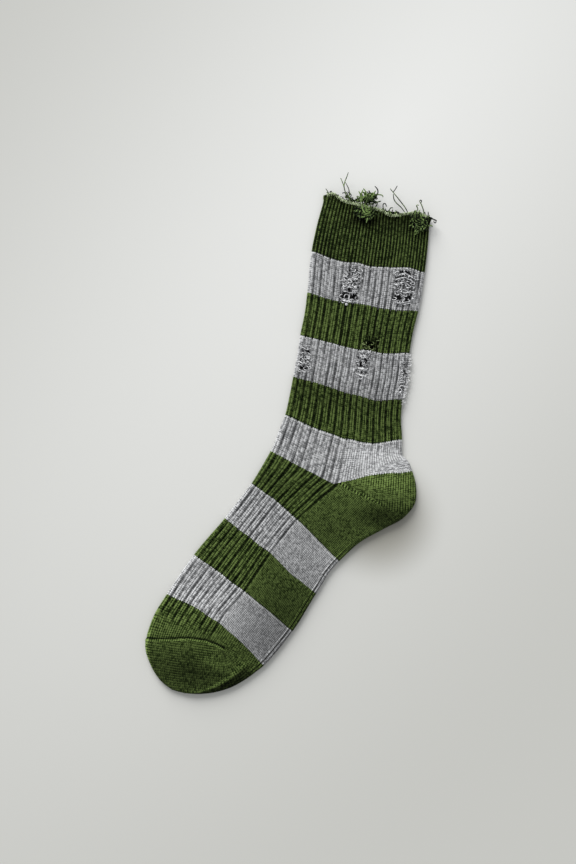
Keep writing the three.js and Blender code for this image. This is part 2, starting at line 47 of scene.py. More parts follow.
# The cuff. It is the top stretch of the tube, knitted in cotton as a fine rib one wale wide, and it
# ends in a raw cut rim. The sock is one tube laid flat on its side, so its upper and lower side meet
# in two folds: a down the shin and the instep, and b down the calf, the heel and the sole.
COURSES = {
    # x and y of fold a, of the middle wale and of fold b, droop of each half, rib of the sole half
    "rim": (-34.5, 202.9, 1.8, 199.5, 42.4, 198.6, 0, 0, 1),
    "cuff": (-37.4, 183.1, 2.6, 180.4, 43.8, 177, 0.6, -0.4, 1),
    "stripe1": (-38.8, 162.5, 2.6, 157.5, 44.2, 158.9, 1.6, -0.9, 1),
    "stripe2": (-37.6, 132.9, 2.9, 129.5, 43.5, 130.4, 1.7, 1.3, 1),
    "shin": (-37.6, 117.6, 2.5, 113.7, 42, 115.7, 0.7, 1.3, 1),
    "stripe3": (-38.4, 102.2, 2.3, 97.7, 41.5, 100.4, -0.3, 1.3, 1),
    "calf": (-38.8, 85.8, 2.1, 80.2, 42.2, 81.6, -0.3, 1.9, 1),
    "stripe4": (-39.3, 73, 1.5, 66.7, 41.4, 67.6, -0.3, 2.6, 1),
    "narrow": (-39.8, 60.6, 2.1, 51.9, 41.8, 54.6, 0.2, 2.9, 1),
    "stripe5": (-41.2, 44.7, 2.6, 33.6, 44.7, 38.6, 0.7, 3.2, 0.9),
    "ankle": (-43.6, 34, 1.4, 19, 46.4, 28, 0.4, 1.2, 0.4),
    "stripe6": (-47.6, 18, 0, 0, 54.1, 18.5, 0.1, -1.8, 0),
    "heel1": (-49.2, 13.8, -0.4, -0.9, 58.9, 7.6, 0, -1.4, 0),
    "heel2": (-50.8, 9.6, -1.6, -2.6, 60.4, -5.3, -0.2, -0.9, 0),
    "heel3": (-52.4, 5.4, -4.4, -6, 54, -17.1, -0.4, -0.4, 0),
    "heel4": (-54.3, 1.1, -8.6, -11.6, 40.9, -27.3, -0.6, 0, 0),
    "heel5": (-55.9, -3.1, -14.4, -19.4, 25.7, -38.8, -0.8, 0, 0),
    "stripe7": (-57.9, -7.4, -21.4, -28.6, 12.7, -54.2, -1, -0.1, 0),
    "stripe8": (-73, -34.3, -37.4, -54.7, -0.5, -79.3, 0.2, 1.1, 0),
    "stripe9": (-91.4, -63.7, -52.1, -84.6, -13.5, -108.4, -0.4, 0, 0),
    "stripe10": (-107.3, -95.1, -67.4, -110, -31, -136.7, -1.1, -0.8, 0),
    "ribEnd": (-113.4, -109, -71.4, -119.6, -35.4, -141.3, -0.8, -0.6, 0),
    "toeSeam": (-117.6, -130.2, -75.4, -128.4, -42.4, -148.1, -1, -0.6, 0),
    "toe1": (-116.6, -137.8, -78.2, -136.8, -50.3, -154.3, 0, 0, 0),
    "toe2": (-113, -145.3, -81.4, -145.2, -58.4, -158.7, 0, 0, 0),
    "toe3": (-108, -152.6, -84.7, -152.6, -66.7, -161.7, 0, 0, 0),
    "toe4": (-101.3, -158.9, -88.1, -159.3, -75.9, -163.6, 0, 0, 0),
    "tip": (-94.1, -163, -89.7, -163.8, -84.5, -164.3, 0, 0, 0),
}
TABLE = list(COURSES.values())
FOLD_A, MIDDLE, FOLD_B = slice(0, 2), slice(2, 4), slice(4, 6)
DROOP_A, DROOP_B, SOLE_RIB = 6, 7, 8

# The courses are measured from the ankle, and the frame from the middle of the sock's box
low_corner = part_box("lower_side")[0]
SHIFT_X = low_corner[0] / MM - min(row[FOLD_A][0] for row in TABLE)
SHIFT_Y = low_corner[1] / MM - min(row[FOLD_B][1] for row in TABLE)

# Distance of each course from the rim, the mean of what both folds and the middle wale travel
stations = [0.0]
for before, after in zip(TABLE, TABLE[1:]):
    travelled = [math.dist(before[line], after[line]) for line in (FOLD_A, MIDDLE, FOLD_B)]
    stations.append(stations[-1] + sum(travelled) / 3)
LENGTH = stations[-1]
STATION = dict(zip(COURSES, stations))


def course_at(distance):
    """All columns of the table at a distance from the rim, on a smooth curve through each."""
    last = len(stations) - 1
    d = min(max(distance, 0), LENGTH)
    i = next(k for k in range(last) if d <= stations[k + 1] or k == last - 1)
    span = stations[i + 1] - stations[i]
    t = (d - stations[i]) / span

    def slope(j, c):
        before, after = max(j - 1, 0), min(j + 1, last)
        if j in (before, after):
            return (TABLE[after][c] - TABLE[before][c]) / (stations[after] - stations[before])
        ahead = (TABLE[after][c] - TABLE[j][c]) / (stations[after] - stations[j])
        behind = (TABLE[j][c] - TABLE[before][c]) / (stations[j] - stations[before])
        weight = (stations[j] - stations[before]) / (stations[after] - stations[before])
        return ahead * weight + behind * (1 - weight)

    return [
        TABLE[i][c] * (2 * t**3 - 3 * t**2 + 1)
        + slope(i, c) * span * (t**3 - 2 * t**2 + t)
        + TABLE[i + 1][c] * (3 * t**2 - 2 * t**3)
        + slope(i + 1, c) * span * (t**3 - t**2)
        for c in range(len(TABLE[0]))
    ]


def smoothstep(low, high, value):
    t = min(max((value - low) / (high - low), 0), 1)
    return t * t * (3 - 2 * t)


def bell(offset, width):
    return math.exp(-((offset / width) ** 2))


def wander(x, y, seed):
    """A value that wanders smoothly between about -1 and 1."""
    return noise.noise(Vector((x, y, seed)))


def patches_at(place, patches):
    """What oval patches add at a place, each with its x, y, reach across, reach along and amount."""
    return sum(
        amount * bell(place.x - x, across) * bell(place.y - y, along)
        for x, y, across, along, amount in patches
    )


def in_frame(x, y, z):
    """A point of the frame in metres, from its place in mm measured from the ankle."""
    return Vector(((x + SHIFT_X) * MM, (y + SHIFT_Y) * MM, z * MM))


RIM_WAVES = [
    # place, width, rise
    (0.08, 0.07, 3.4),
    (0.66, 0.08, -2.9),
    (0.88, 0.07, 2),
]
BACK_RIM_WAVES = [
    (0.08, 0.07, 3.4),
    (0.34, 0.14, 1.6),
    (0.88, 0.07, 1),
]
RIM_WAVE_FADE = 14


def plan(row, distance, wale, under=False):
    """Where a wale crosses a course, seen from above. The wale is 0 on fold a and 1 on fold b."""
    a, middle, b = Vector(row[FOLD_A]), Vector(row[MIDDLE]), Vector(row[FOLD_B])
    if wale < 0.5:
        start, end, share, droop = a, middle, wale * 2, row[DROOP_A]
    else:
        start, end, share, droop = middle, b, wale * 2 - 1, row[DROOP_B]
    along = (end - start).normalized()
    down = Vector((along.y, -along.x))
    waves = BACK_RIM_WAVES if under else RIM_WAVES
    wave = sum(rise * bell(wale - at, width) for at, width, rise in waves) * bell(distance, RIM_WAVE_FADE)
    return start.lerp(end, share) + down * (droop * math.sin(math.pi * share) ** 2 - wave)


FOLD_HEIGHT = 2.0
TOP_RISE = 2.0  # from the folds to the top of the upper side
FOLD_ROUND = 3.4  # how far a rounded fold reaches in, seen from above
SWELLS = [
    # x, y, reach across, reach along, rise
    (40, -3, 20, 16, 3.6),
    (26, 19, 26, 9, 1.1),
    (-34, 6, 14, 16, 0.7),
    (-58, -96, 30, 26, 0.8),
    (-86, -143, 22, 14, 0.9),
    (-20, 84, 12, 34, 0.5),
    (24, 112, 14, 30, 0.5),
]


def width_of(row):
    """Width of a course laid flat, in mm."""
    return math.dist(row[FOLD_A], row[MIDDLE]) + math.dist(row[MIDDLE], row[FOLD_B])


def skin_point(row, distance, turn, lift=0.0):
    """A point of the tube's skin, in metres. Turn runs from 0 on fold a over the upper side to 1 on
    fold b, and on below to 2. Lift raises the point off the smooth skin."""
    under = turn > 1
    share = 2 - turn if under else turn
    width = width_of(row)
    fold = min(FOLD_ROUND, width / 3)
    quarter = math.pi / 2 * math.sqrt((fold**2 + FOLD_HEIGHT**2) / 2)
    half_round = width + 2 * (quarter - fold)
    arc = min(share, 1 - share) * half_round
    if arc < quarter:
        angle = arc / quarter * math.pi / 2
        inward = fold * (1 - math.cos(angle))
    else:
        angle = math.pi / 2
        inward = fold + arc - quarter
    wale = inward / width if share <= 0.5 else 1 - inward / width
    place = plan(row, distance, wale, under)
    if angle < math.pi / 2:
        a_bit_in = 0.01 if share <= 0.5 else -0.01
        inside = plan(row, distance, wale + a_bit_in, under)
        place += (place - inside).normalized() * lift * math.cos(angle)
    end = min(max((LENGTH - distance) / (2 * FOLD_ROUND), 0), 1)
    height = math.sin(angle) * math.sqrt(1 - (1 - end) ** 2)
    if under:
        z = FOLD_HEIGHT - (FOLD_HEIGHT + lift) * height
    else:
        z = FOLD_HEIGHT + (TOP_RISE + patches_at(place, SWELLS) + lift) * height
    return in_frame(place.x, place.y, z)


LEG_RIBS = 18  # on each side of the tube
LEG_WALES = 3  # two knit wales and the purl wale of the groove, in each rib
CUFF_WALES = 4  # the same width holds two of the finer ribs, each with a knit and a purl wale
RIB_DEPTH = 0.7
CUFF_RIB_DEPTH = 0.5

# The rib fades out over the sole between two turns, and ends on the instep in a wavy line
SOLE_EDGE = (0.505, 0.54)
RIB_END_FADE = 5
RIB_END_WAVE = 3
RIB_END_LONGER = 8  # how much further it runs beside the sole
RIB_END_TURNS = (0.36, 0.48)  # between which it grows longer


def ribbed_at(row, distance, turn):
    """How far the knit is ribbed, from 0 for plain knit to 1."""
    first, last = SOLE_EDGE
    on_sole = smoothstep(first, last, turn) - smoothstep(2 - last, 2 - first, turn)
    longer = RIB_END_LONGER * smoothstep(*RIB_END_TURNS, turn)
    ends_at = STATION["ribEnd"] + RIB_END_WAVE * math.sin(turn * 9) + longer
    before_end = 1 - smoothstep(ends_at - RIB_END_FADE, ends_at + RIB_END_FADE, distance)
    return on_sole * row[SOLE_RIB] + (1 - on_sole) * before_end


# Widths of the lines in the rib, as shares of a leg rib or of a cuff rib
LEG_GROOVE = 0.13
LEG_GROOVE_VARIES = 0.07
MIDDLE_LINE = 0.07
MIDDLE_LINE_DEPTH = 0.4  # beside 1 for a groove
CUFF_GROOVE = 0.27

# The rib is a little less deep than it could be, and uneven
RIB_SHARE = 0.95
RIB_VARIES = 0.5
RIB_CHANGE = 1  # half the stretch in which the fine rib of the cuff turns into the wide one


def rib_groove(row, distance, turn):
    """How much painted shade a point gets from its place in the rib, from 0 on a crest to 1 in a groove,
    and its depth in mm.
    A leg rib is two wales wide with a faint line between them, and a cuff rib is one wale wide."""
    rib = turn * LEG_RIBS
    phase = rib % 1
    uneven = wander(round(rib) * 3.7, distance / 16, 0.5)
    middle_line = MIDDLE_LINE_DEPTH * bell(phase - 0.5, MIDDLE_LINE)
    on_leg = bell(min(phase, 1 - phase), LEG_GROOVE + LEG_GROOVE_VARIES * uneven) + middle_line
    fine = (2 * phase) % 1
    on_cuff = bell(min(fine, 1 - fine), CUFF_GROOVE)
    change_at = STATION["stripe1"]
    below_cuff = smoothstep(change_at - RIB_CHANGE, change_at + RIB_CHANGE, distance)
    share = ribbed_at(row, distance, turn) * (RIB_SHARE + RIB_VARIES * uneven)
    depth = on_leg * RIB_DEPTH * below_cuff + on_cuff * CUFF_RIB_DEPTH * (1 - below_cuff)
    return (on_leg * below_cuff + on_cuff * (1 - below_cuff)) * share, depth * share


# Patches of painted light and shade on the knit: lighter where it faces the light, darker in the shade of
# the tufts, the heel and the toe, and some broad patches of the yarn's own lighter or darker tone
PAINTED_LIGHT_AND_TONE = [
    # x, y, reach across, reach along, lightness added
    (8, 150, 60, 46, -0.06),
    (28, 191, 20, 7, -0.6),
    (-4, 190, 10, 4.5, -0.9),
    (-4, 63, 60, 11, -0.28),
    (36, 22, 26, 9, 0.42),
    (30, 8, 26, 7, 0.4),
    (44, 2, 14, 9, 0.1),
    (40, -19, 22, 11, -0.68),
    (-39, -9, 18, 9, -0.15),
    (4, -34, 26, 16, -0.35),
    (-60, -84, 16, 24, 0.1),
    (-18, -98, 34, 36, -0.55),
    (-38, -122, 20, 14, -0.2),
    (-82, -147, 40, 18, -0.68),
    (-84, -98, 24, 14, 0.24),
    (-100, -108, 12, 9, 0.2),
    (-65, -139, 10, 5, 0.45),
]

# Painted highlights that run along the wales near the folds: turn, width in turns and lightness added. By
# the sole they alternate with painted shade.
SHIN_HIGHLIGHT = (0.02, 0.014, 0.25)
TOE_FOLD_HIGHLIGHT = (0.02, 0.016, 1.2)
TOE_SOLE_HIGHLIGHT = (0.87, 0.018, 0.45)
SOLE_LIGHT_AND_SHADE_LINES = (0.957, 0.02, 0.95)
SOLE_LINE_AT = 0.968
SOLE_LINE_SPACING = 0.025
# Painted shade over the sole side of the toe, between two turns
TOE_SHADE = 0.5
TOE_SHADE_EDGE = (0.88, 0.91)
DARKEST = 0.1


def painted_light_line(turn, line):
    at, width, light = line
    return light * bell(turn - at, width)


def painted_light_and_tone_at(place, distance, turn):
    """How light the knit is painted at a place, beside 1: mostly painted light and shade, and in some
    broad patches the yarn's own tone. Painted highlights run along its wales, most of all where they
    round into a fold."""
    tone = 1 + patches_at(place, PAINTED_LIGHT_AND_TONE)
    if turn > 1:
        return tone
    tone += painted_light_line(turn, SHIN_HIGHLIGHT)
    on_foot = smoothstep(STATION["heel5"], STATION["stripe7"], distance)
    on_toe = smoothstep(STATION["stripe10"], STATION["toeSeam"], distance)
    lines_at, lines_width, lines_light = SOLE_LIGHT_AND_SHADE_LINES
    lines = math.cos(2 * math.pi * (turn - SOLE_LINE_AT) / SOLE_LINE_SPACING)
    lines = lines_light * (lines * bell(turn - lines_at, lines_width))
    toe = painted_light_line(turn, TOE_SOLE_HIGHLIGHT) - TOE_SHADE * smoothstep(*TOE_SHADE_EDGE, turn)
    toe += painted_light_line(turn, TOE_FOLD_HIGHLIGHT)
    return max(tone + lines * on_foot * (1 - on_toe) + toe * on_toe, DARKEST)


RIM_CURL = 1.6
RIM_CURL_FADE = 3.5


def cuff_relief(row, distance, turn):
    groove, depth = rib_groove(row, distance, turn)
    curl = RIM_CURL * bell(distance, RIM_CURL_FADE) if turn < 1 else 0
    return curl - depth, groove, 0


RIB_COLUMNS = 12  # points over a rib on the upper side
UNDER_COLUMNS = 4  # and on the lower side
TURNS = [k / (LEG_RIBS * RIB_COLUMNS) for k in range(LEG_RIBS * RIB_COLUMNS)]
TURNS += [1 + k / (LEG_RIBS * UNDER_COLUMNS) for k in range(LEG_RIBS * UNDER_COLUMNS)]
WALL = 1.0
JOINED_WITHIN = 0.01
SHARPEST_SMOOTHED = math.radians(55)
BULGES = [
    # distance from the rim, place, reach along, reach across, how far the courses bulge to the rim
    (41, 0.84, 6, 0.09, 1.8),
    (41, 0.38, 6, 0.08, 0.9),
    (100, 0.6, 5, 0.07, 1.0),
]
COURSE_WANDER = 0.5

# How far the wales stray, in turns
RIB_SKEW = 0.03
SLOW_WAVER = 0.0024
QUICK_WAVER = 0.0034


def waver(distance, turn):
    """How far a wale strays from its even place round the tube. On the leg, the ribs by the shin
    are wider than the ones by the calf."""
    slow = wander(distance / 30, turn * 7, 3)
    quick = wander(distance / 12, turn * LEG_RIBS * 0.7, 8)
    skew = RIB_SKEW * (1 - smoothstep(STATION["ankle"], STATION["stripe7"], distance))
    across = math.sin(math.pi * turn)
    return (SLOW_WAVER * slow + QUICK_WAVER * quick) * across**2 + skew * across


def bulge(distance, turn):
    """How far a course strays towards the toe from its even distance."""
    slow = COURSE_WANDER * wander(distance / 40, turn * 9, 5)
    return slow - sum(b[4] * bell(distance - b[0], b[2]) * bell(turn - b[1], b[3]) for b in BULGES)


def knit_mesh(name, distances, relief, gap_at, rib_wales, lie_at):
    """The skin of a stretch of the tube. Its UV map counts the wales and measures the courses, and
    its attributes say what the knit's finish has to know of each point."""
    ring = len(TURNS)
    verts, places, faces, uvs = [], [], [], []
    values = {"groove": [], "tone": [], "ribbed": [], "along": []}
    for distance in distances:
        row = course_at(distance)
        for turn in TURNS:
            lift, groove, light = relief(row, distance, turn)
            point = skin_point(row, distance, turn + waver(distance, turn), lift)
            place = Vector((point.x / MM - SHIFT_X, point.y / MM - SHIFT_Y))
            verts.append(point)
            places.append(place)
            values["groove"].append(groove)
            values["tone"].append(painted_light_and_tone_at(place, distance, turn) + light)
            values["ribbed"].append(ribbed_at(row, distance, turn))
            values["along"].append(distance - bulge(distance, turn))
    for r in range(len(distances) - 1):
        middle = (distances[r] + distances[r + 1]) / 2
        for c, turn in enumerate(TURNS):
            n = (c + 1) % ring
            next_turn = TURNS[n] or 2.0  # the last column meets fold a again
            if gap_at and gap_at(middle, (turn + next_turn) / 2):
                continue
            corners = (r * ring + c, (r + 1) * ring + c, (r + 1) * ring + n, r * ring + n)
            faces.append(corners)
            lie = lie_at(places[corners[0]], middle, turn) if lie_at else None
            for corner, at_turn in zip(corners, (turn, turn, next_turn, next_turn)):
                even = (at_turn * LEG_RIBS * rib_wales, values["along"][corner])
                uvs.append(lie(places[corner]) if lie else even)
    mesh = bpy.data.meshes.new(name)
    mesh.from_pydata(verts, [], faces)
    for item, uv in zip(mesh.uv_layers.new(name="knit").data, uvs):
        item.uv = uv
    for attribute, numbers in values.items():
        mesh.attributes.new(attribute, "FLOAT", "POINT").data.foreach_set("value", numbers)
    return mesh


def add_alone(piece):
    """Adds a new piece to the scene, as the only one selected."""
    bpy.context.collection.objects.link(piece)
    bpy.ops.object.select_all(action="DESELECT")
    piece.select_set(True)
    bpy.context.view_layer.objects.active = piece


def knit_tube(
    name, start, end, step, relief, gap_at=None, rib_wales=LEG_WALES, lie_at=None, closed_end=False
):
    """A stretch of the tube between two distances from the rim, as a wall of knit. Relief gives the
    lift of a point, the painted shade it gets in grooves and hollows, and the painted highlight it adds.
    Lie_at gives, for a face whose wales don't just follow the tube, a way to tell the wale and the course
    of its corners."""
    rows = max(1, round((end - start) / step))
    distances = [start + (end - start) * k / rows for k in range(rows + 1)]
    mesh = knit_mesh(name, distances, relief, gap_at, rib_wales, lie_at)
    piece = bpy.data.objects.new(name, mesh)
    add_alone(piece)
    if closed_end:
        bpy.ops.object.mode_set(mode="EDIT")
        bpy.ops.mesh.select_all(action="SELECT")
        bpy.ops.mesh.remove_doubles(threshold=JOINED_WITHIN * MM)
        bpy.ops.object.mode_set(mode="OBJECT")
    mesh.materials.append(knit_finish)
    mesh.materials.append(inside_finish)
    wall = piece.modifiers.new("wall", "SOLIDIFY")
    wall.thickness = WALL * MM
    wall.offset = -1
    wall.material_offset = 1
    bpy.ops.object.modifier_apply(modifier="wall")
    bpy.ops.object.shade_smooth_by_angle(angle=SHARPEST_SMOOTHED)
    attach(piece, "root")
    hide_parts("upper_side", "lower_side")
    return piece


class Wire:
    """A socket of a material. Plain arithmetic on it adds Math nodes."""

    def __init__(self, tree, socket=None):
        self.tree = tree
        self.socket = socket

    def node(self, kind, settings=(), inputs=(), output=0):
        """Adds a node of a kind, with its settings and the numbers or wires of its inputs."""
        made = self.tree.nodes.new(kind)
        for name, value in dict(settings).items():
            if name == "stops":
                ramp = made.color_ramp
                ramp.interpolation = "CONSTANT"
                while len(ramp.elements) < len(value):
                    ramp.elements.new(1)
                for stop, (at, grey) in zip(ramp.elements, value):
                    stop.position = at
                    stop.color = (grey, grey, grey, 1)
            else:
                setattr(made, name, value)
        for key, value in dict(inputs).items():
            if isinstance(value, Wire):
                self.tree.links.new(value.socket, made.inputs[key])
            else:
                made.inputs[key].default_value = value
        return Wire(self.tree, made.outputs[output])

    def maths(self, operation, first, second=0.0):
        return self.node("ShaderNodeMath", {"operation": operation}, {0: first, 1: second})

    def __add__(self, other):
        return self.maths("ADD", self, other)

    def __radd__(self, other):
        return self.maths("ADD", other, self)

    def __sub__(self, other):
        return self.maths("SUBTRACT", self, other)

    def __rsub__(self, other):
        return self.maths("SUBTRACT", other, self)

    def __mul__(self, other):
        return self.maths("MULTIPLY", self, other)

    def __rmul__(self, other):
        return self.maths("MULTIPLY", other, self)

    def __truediv__(self, other):
        return self.maths("DIVIDE", self, other)

    def __rtruediv__(self, other):
        return self.maths("DIVIDE", other, self)

    def __mod__(self, other):
        return self.maths("FLOORED_MODULO", self, other)

    def __rmod__(self, other):
        return self.maths("FLOORED_MODULO", other, self)

    def __abs__(self):
        return self.maths("ABSOLUTE", self)

    def __floor__(self):
        return self.maths("FLOOR", self)

    def sine(self):
        return self.maths("SINE", self)

    def root(self):
        return self.maths("SQRT", self)

    def smooth(self, low, high):
        settings = {"interpolation_type": "SMOOTHSTEP"}
        return self.node("ShaderNodeMapRange", settings, {0: self, 1: low, 2: high})

    def between(self, first, second):
        """The colour at this share of the way from one colour to another."""
        return self.node("ShaderNodeMix", {"data_type": "RGBA"}, {0: self, 6: first, 7: second}, output=2)


def new_finish(name, roughness, sheen):
    """A soft finish without gloss, and its shader."""
    finish = bpy.data.materials.new(name)
    finish.use_nodes = True
    shader = finish.node_tree.nodes["Principled BSDF"]
    shader.inputs["Roughness"].default_value = roughness
    shader.inputs["Sheen Weight"].default_value = sheen
    shader.inputs["Sheen Roughness"].default_value = 0.5
    shader.inputs["Specular IOR Level"].default_value = 0.03
    return finish, shader


# Colours of the yarn as painted in light, in shade and in the deeper painted shade of a groove
MOSS = ((0.137, 0.195, 0.054), (0.0095, 0.019, 0.003), (0.0005, 0.002, 0.0003))
GREY = ((0.62, 0.623, 0.626), (0.16, 0.162, 0.164), (0.05, 0.051, 0.053))
COURSE_HEIGHT = 1.3
STITCH_SLANT = 0.9  # rise of the legs of a V, in courses for each wale across
BAND_EDGE_SLANT = 1.4  # and of the edge of a colour band, in mm for each wale across
BAND_EDGE_SINK = 0.8  # how far that edge shifts in a groove
FIRST_GREY = 1.1  # how far the first grey stitches reach from the edge of a band
LAST_MOSS = 0.9
BAND_STOPS = [(0, 0)] + [(STATION[f"stripe{k}"] / LENGTH, k % 2) for k in range(1, 11)]

# How far the knit's colour goes from its shaded colour, at 0, to its lit one, at 1: by the yarn's own
# tone, and by painted highlights on stitches and wales
MIDDLE_SHADE = 0.475
BY_STITCH = (0.53, 0.17)  # in plain knit, and what the rib adds
BY_YARN = 0.35
# Painted highlights on the stitches of each course and along the crest of each wale
COURSE_HIGHLIGHT = 0.4
WALE_HIGHLIGHT = (0.74, 0.14)  # in plain knit, and what the rib takes off
BY_AREA = 0.15


def knit_material(name, shade):
    """The knit: V stitches in wales, heather yarn, the colour bands along the tube, and painted light and
    shade. Shade darkens all of it.
    """
    finish, shader = new_finish(name, 0.9, 0.03)
    tree = finish.node_tree
    start = Wire(tree)
    uv = start.node("ShaderNodeUVMap", {"uv_map": "knit"})
    wale = start.node("ShaderNodeSeparateXYZ", (), {0: uv}, output=0) + 0.5
    distance = start.node("ShaderNodeSeparateXYZ", (), {0: uv}, output=1)
    groove, tone, ribbed, along = (
        start.node("ShaderNodeAttribute", {"attribute_name": attribute}, output=2)
        for attribute in ("groove", "tone", "ribbed", "along")
    )
    across = abs(wale % 1 - 0.5)
    course = distance / COURSE_HEIGHT + across * STITCH_SLANT
    stitch = (course * (2 * math.pi)).sine() * 0.5 + 0.5

    # Each stitch has its own shade of yarn, more so in the rib, and the yarn changes slowly
    cell = start.node("ShaderNodeCombineXYZ", (), {0: math.floor(wale), 1: math.floor(course)})
    each = start.node("ShaderNodeTexWhiteNoise", {"noise_dimensions": "2D"}, {"Vector": cell})
    place = start.node("ShaderNodeCombineXYZ", (), {0: wale * 0.5, 1: distance * 1.1})
    flat = {"noise_dimensions": "2D"}
    speckle = start.node("ShaderNodeTexNoise", flat, {"Vector": place, "Scale": 1.3, "Detail": 2.0})
    cloud = start.node("ShaderNodeTexNoise", flat, {"Vector": place, "Scale": 0.07, "Detail": 2.0})
    ridge = ((0.5 - across) * 2).smooth(0.15, 0.85)
    wale_highlight = (ridge - 0.5) * cloud.smooth(0.35, 0.6)
    mottle = (each - 0.5) * (ribbed * BY_STITCH[1] + BY_STITCH[0])
    mottle = mottle + (speckle.smooth(0.38, 0.62) - 0.5) * BY_YARN
    # Painted highlights on the stitches of each course and along the crest of each wale
    mottle = mottle + (stitch - 0.5) * COURSE_HIGHLIGHT
    mottle = mottle + wale_highlight * (WALE_HIGHLIGHT[0] - ribbed * WALE_HIGHLIGHT[1])
    mottle = mottle + (cloud - 0.5) * BY_AREA + MIDDLE_SHADE

    # The colour bands end along the tops of the stitches. The first grey stitches of a band stand out
    # over the moss ones before them and get a painted highlight, and those moss ones get painted shade.
    edge = along + across * BAND_EDGE_SLANT - groove * BAND_EDGE_SINK
    band, before, after = (
        start.node("ShaderNodeValToRGB", {"stops": BAND_STOPS}, {0: (edge + offset) / LENGTH})
        for offset in (0, -FIRST_GREY, LAST_MOSS)
    )
    first_grey_highlight = band * (1 - before)
    last_moss_shade = (1 - band) * after
    # Painted colours of the yarn: lit, shaded and in the painted shade of a groove
    lit, dim, groove_shaded = (
        band.between(tuple(c * shade for c in moss) + (1,), tuple(c * shade for c in grey) + (1,))
        for moss, grey in zip(MOSS, GREY)
    )
    light = (mottle + first_grey_highlight * (each * 0.5 + 0.2) - last_moss_shade * 0.4).smooth(0, 1)
    # Painted shade in the grooves, patchy, and less on the first grey stitches
    painted_groove_shade = (groove - band * 0.24).smooth(0.06, 0.7)
    painted_groove_shade = painted_groove_shade * (speckle.smooth(0.35, 0.6) * 0.5 + 0.6)
    painted_groove_shade = painted_groove_shade * (1 - first_grey_highlight * 0.5)
    colour = painted_groove_shade.between(light.between(dim, lit), groove_shaded)
    # Painted light and shade from the mesh brighten or darken the colour
    colour = start.node("ShaderNodeHueSaturation", (), {"Color": colour, "Value": tone})
    tree.links.new(colour.socket, shader.inputs["Base Color"])
    relief = stitch * 0.6 + (0.5 - across) * 1.6 + speckle * 0.6
    bump = start.node("ShaderNodeBump", (), {"Strength": 0.7, "Distance": 0.4 * MM, "Height": relief})
    tree.links.new(bump.socket, shader.inputs["Normal"])
    return finish


# The inside of the tube is the same knit darkened by painted shade
INSIDE_SHADE = 0.16
knit_finish = knit_material("sock knit", 1.0)
inside_finish = knit_material("sock knit inside", INSIDE_SHADE)
ROW_STEP = 1.1  # between the rows of points along the cuff and the leg
cuff = knit_tube("cuff", 0, STATION["stripe1"], ROW_STEP, cuff_relief, rib_wales=CUFF_WALES)


STATION["stripe1"] * MM

# The leg. It is knitted on from the cuff as a rib two wales wide, in bands of grey and moss green.
# Ladders have run down its ribs and worn through, so the knit there is flat, loose and full of holes.
WORN_PATCHES = [
    # distance from the rim, place, half length, half width
    (56.5, 0.385, 14, 6.4),
    (53, 0.83, 12.5, 8),
    (117, 0.089, 11.5, 4.5),
    (95.5, 0.63, 5.5, 6),
    (110.5, 0.585, 10, 4.8),
    (118, 0.965, 13, 3),
]
HOLES = [
    # distance from the rim, place, half length, half width
    (64.8, 0.335, 2.5, 2.3),
    (65.3, 0.418, 2.9, 2.8),
    (60.2, 0.36, 1.2, 2),
    (53.2, 0.41, 0.9, 1.8),
    (61, 0.787, 2.5, 2.8),
    (60.6, 0.873, 2.5, 2.6),
    (43.4, 0.825, 1.2, 4.6),
    (47.4, 0.8, 0.8, 2.6),
    (50.6, 0.87, 0.9, 2.2),
    (124.3, 0.086, 2, 2.2),
    (111.5, 0.104, 0.8, 1.4),
    (95.4, 0.6, 1.2, 2.4),
    (97.6, 0.65, 1.1, 2),
    (107.2, 0.605, 1.7, 1.6),
    (111.4, 0.57, 1.8, 1.8),
    (115.6, 0.6, 1.1, 1.4),
]
LEG_WIDTH = 80.4
NEAR_PATCH = 1.6  # beside 1 for the edge of a patch
PATCH_EDGE = (0.75, 1.1)
PATCH_RAGGED = 0.25
HOLE_RAGGED = 0.5
TORN_FROM = 0.7  # how worn the knit is where it begins to tear
TEAR_FROM = 0.33  # how ragged it has to be there for a tear
RIB_WORN_FLAT = 0.75  # share of its depth that the rib loses
# The rib of worn knit loses most of the painted shade of its grooves, and worn knit gets painted shade of
# its own, deepest in the hollows between loose stitches
RIB_WORN_SHADE_LOST = 0.8  # and of the dark of its grooves
WORN_SHADE = 0.42  # beside 1 for a groove
LOOSE_SHADE = 0.58  # what the hollows between loose stitches add to it
WORN_SAG = 0.4
LOOSE_SWELL = 0.6


def worn_at(distance, place):
    """How worn the knit is, from 0 to 1, ragged at the edges of a patch."""
    worn = 0.0
    if place < 1:
        for at, middle, half_length, half_width in WORN_PATCHES:
            u = abs((place - middle) * LEG_WIDTH / half_width)
            v = abs((distance - at) / half_length)
            if u < NEAR_PATCH and v < NEAR_PATCH:
                ragged = PATCH_RAGGED * wander(place * 32, distance / 2.2, 4)
                worn = max(worn, 1 - smoothstep(*PATCH_EDGE, (u**3 + v**3) ** (1 / 3) + ragged))
    return worn


def in_hole(distance, place, ragged):
    return any(
        math.hypot((place - middle) * LEG_WIDTH / half_width, (distance - at) / half_length) + ragged < 1
        for at, middle, half_length, half_width in HOLES
    )


def leg_relief(row, distance, turn):
    groove, depth = rib_groove(row, distance, turn)
    worn = worn_at(distance, turn + waver(distance, turn))
    loose = wander(turn * 60, distance / 1.2, 9)
    lift = -depth * (1 - RIB_WORN_FLAT * worn) + worn * (LOOSE_SWELL * loose - WORN_SAG)
    # Painted shade in the worn knit, deepest in the hollows between loose stitches
    dark = WORN_SHADE + LOOSE_SHADE * smoothstep(-0.1, 0.25, -loose)
    return lift, groove * (1 - RIB_WORN_SHADE_LOST * worn) + worn * dark, 0


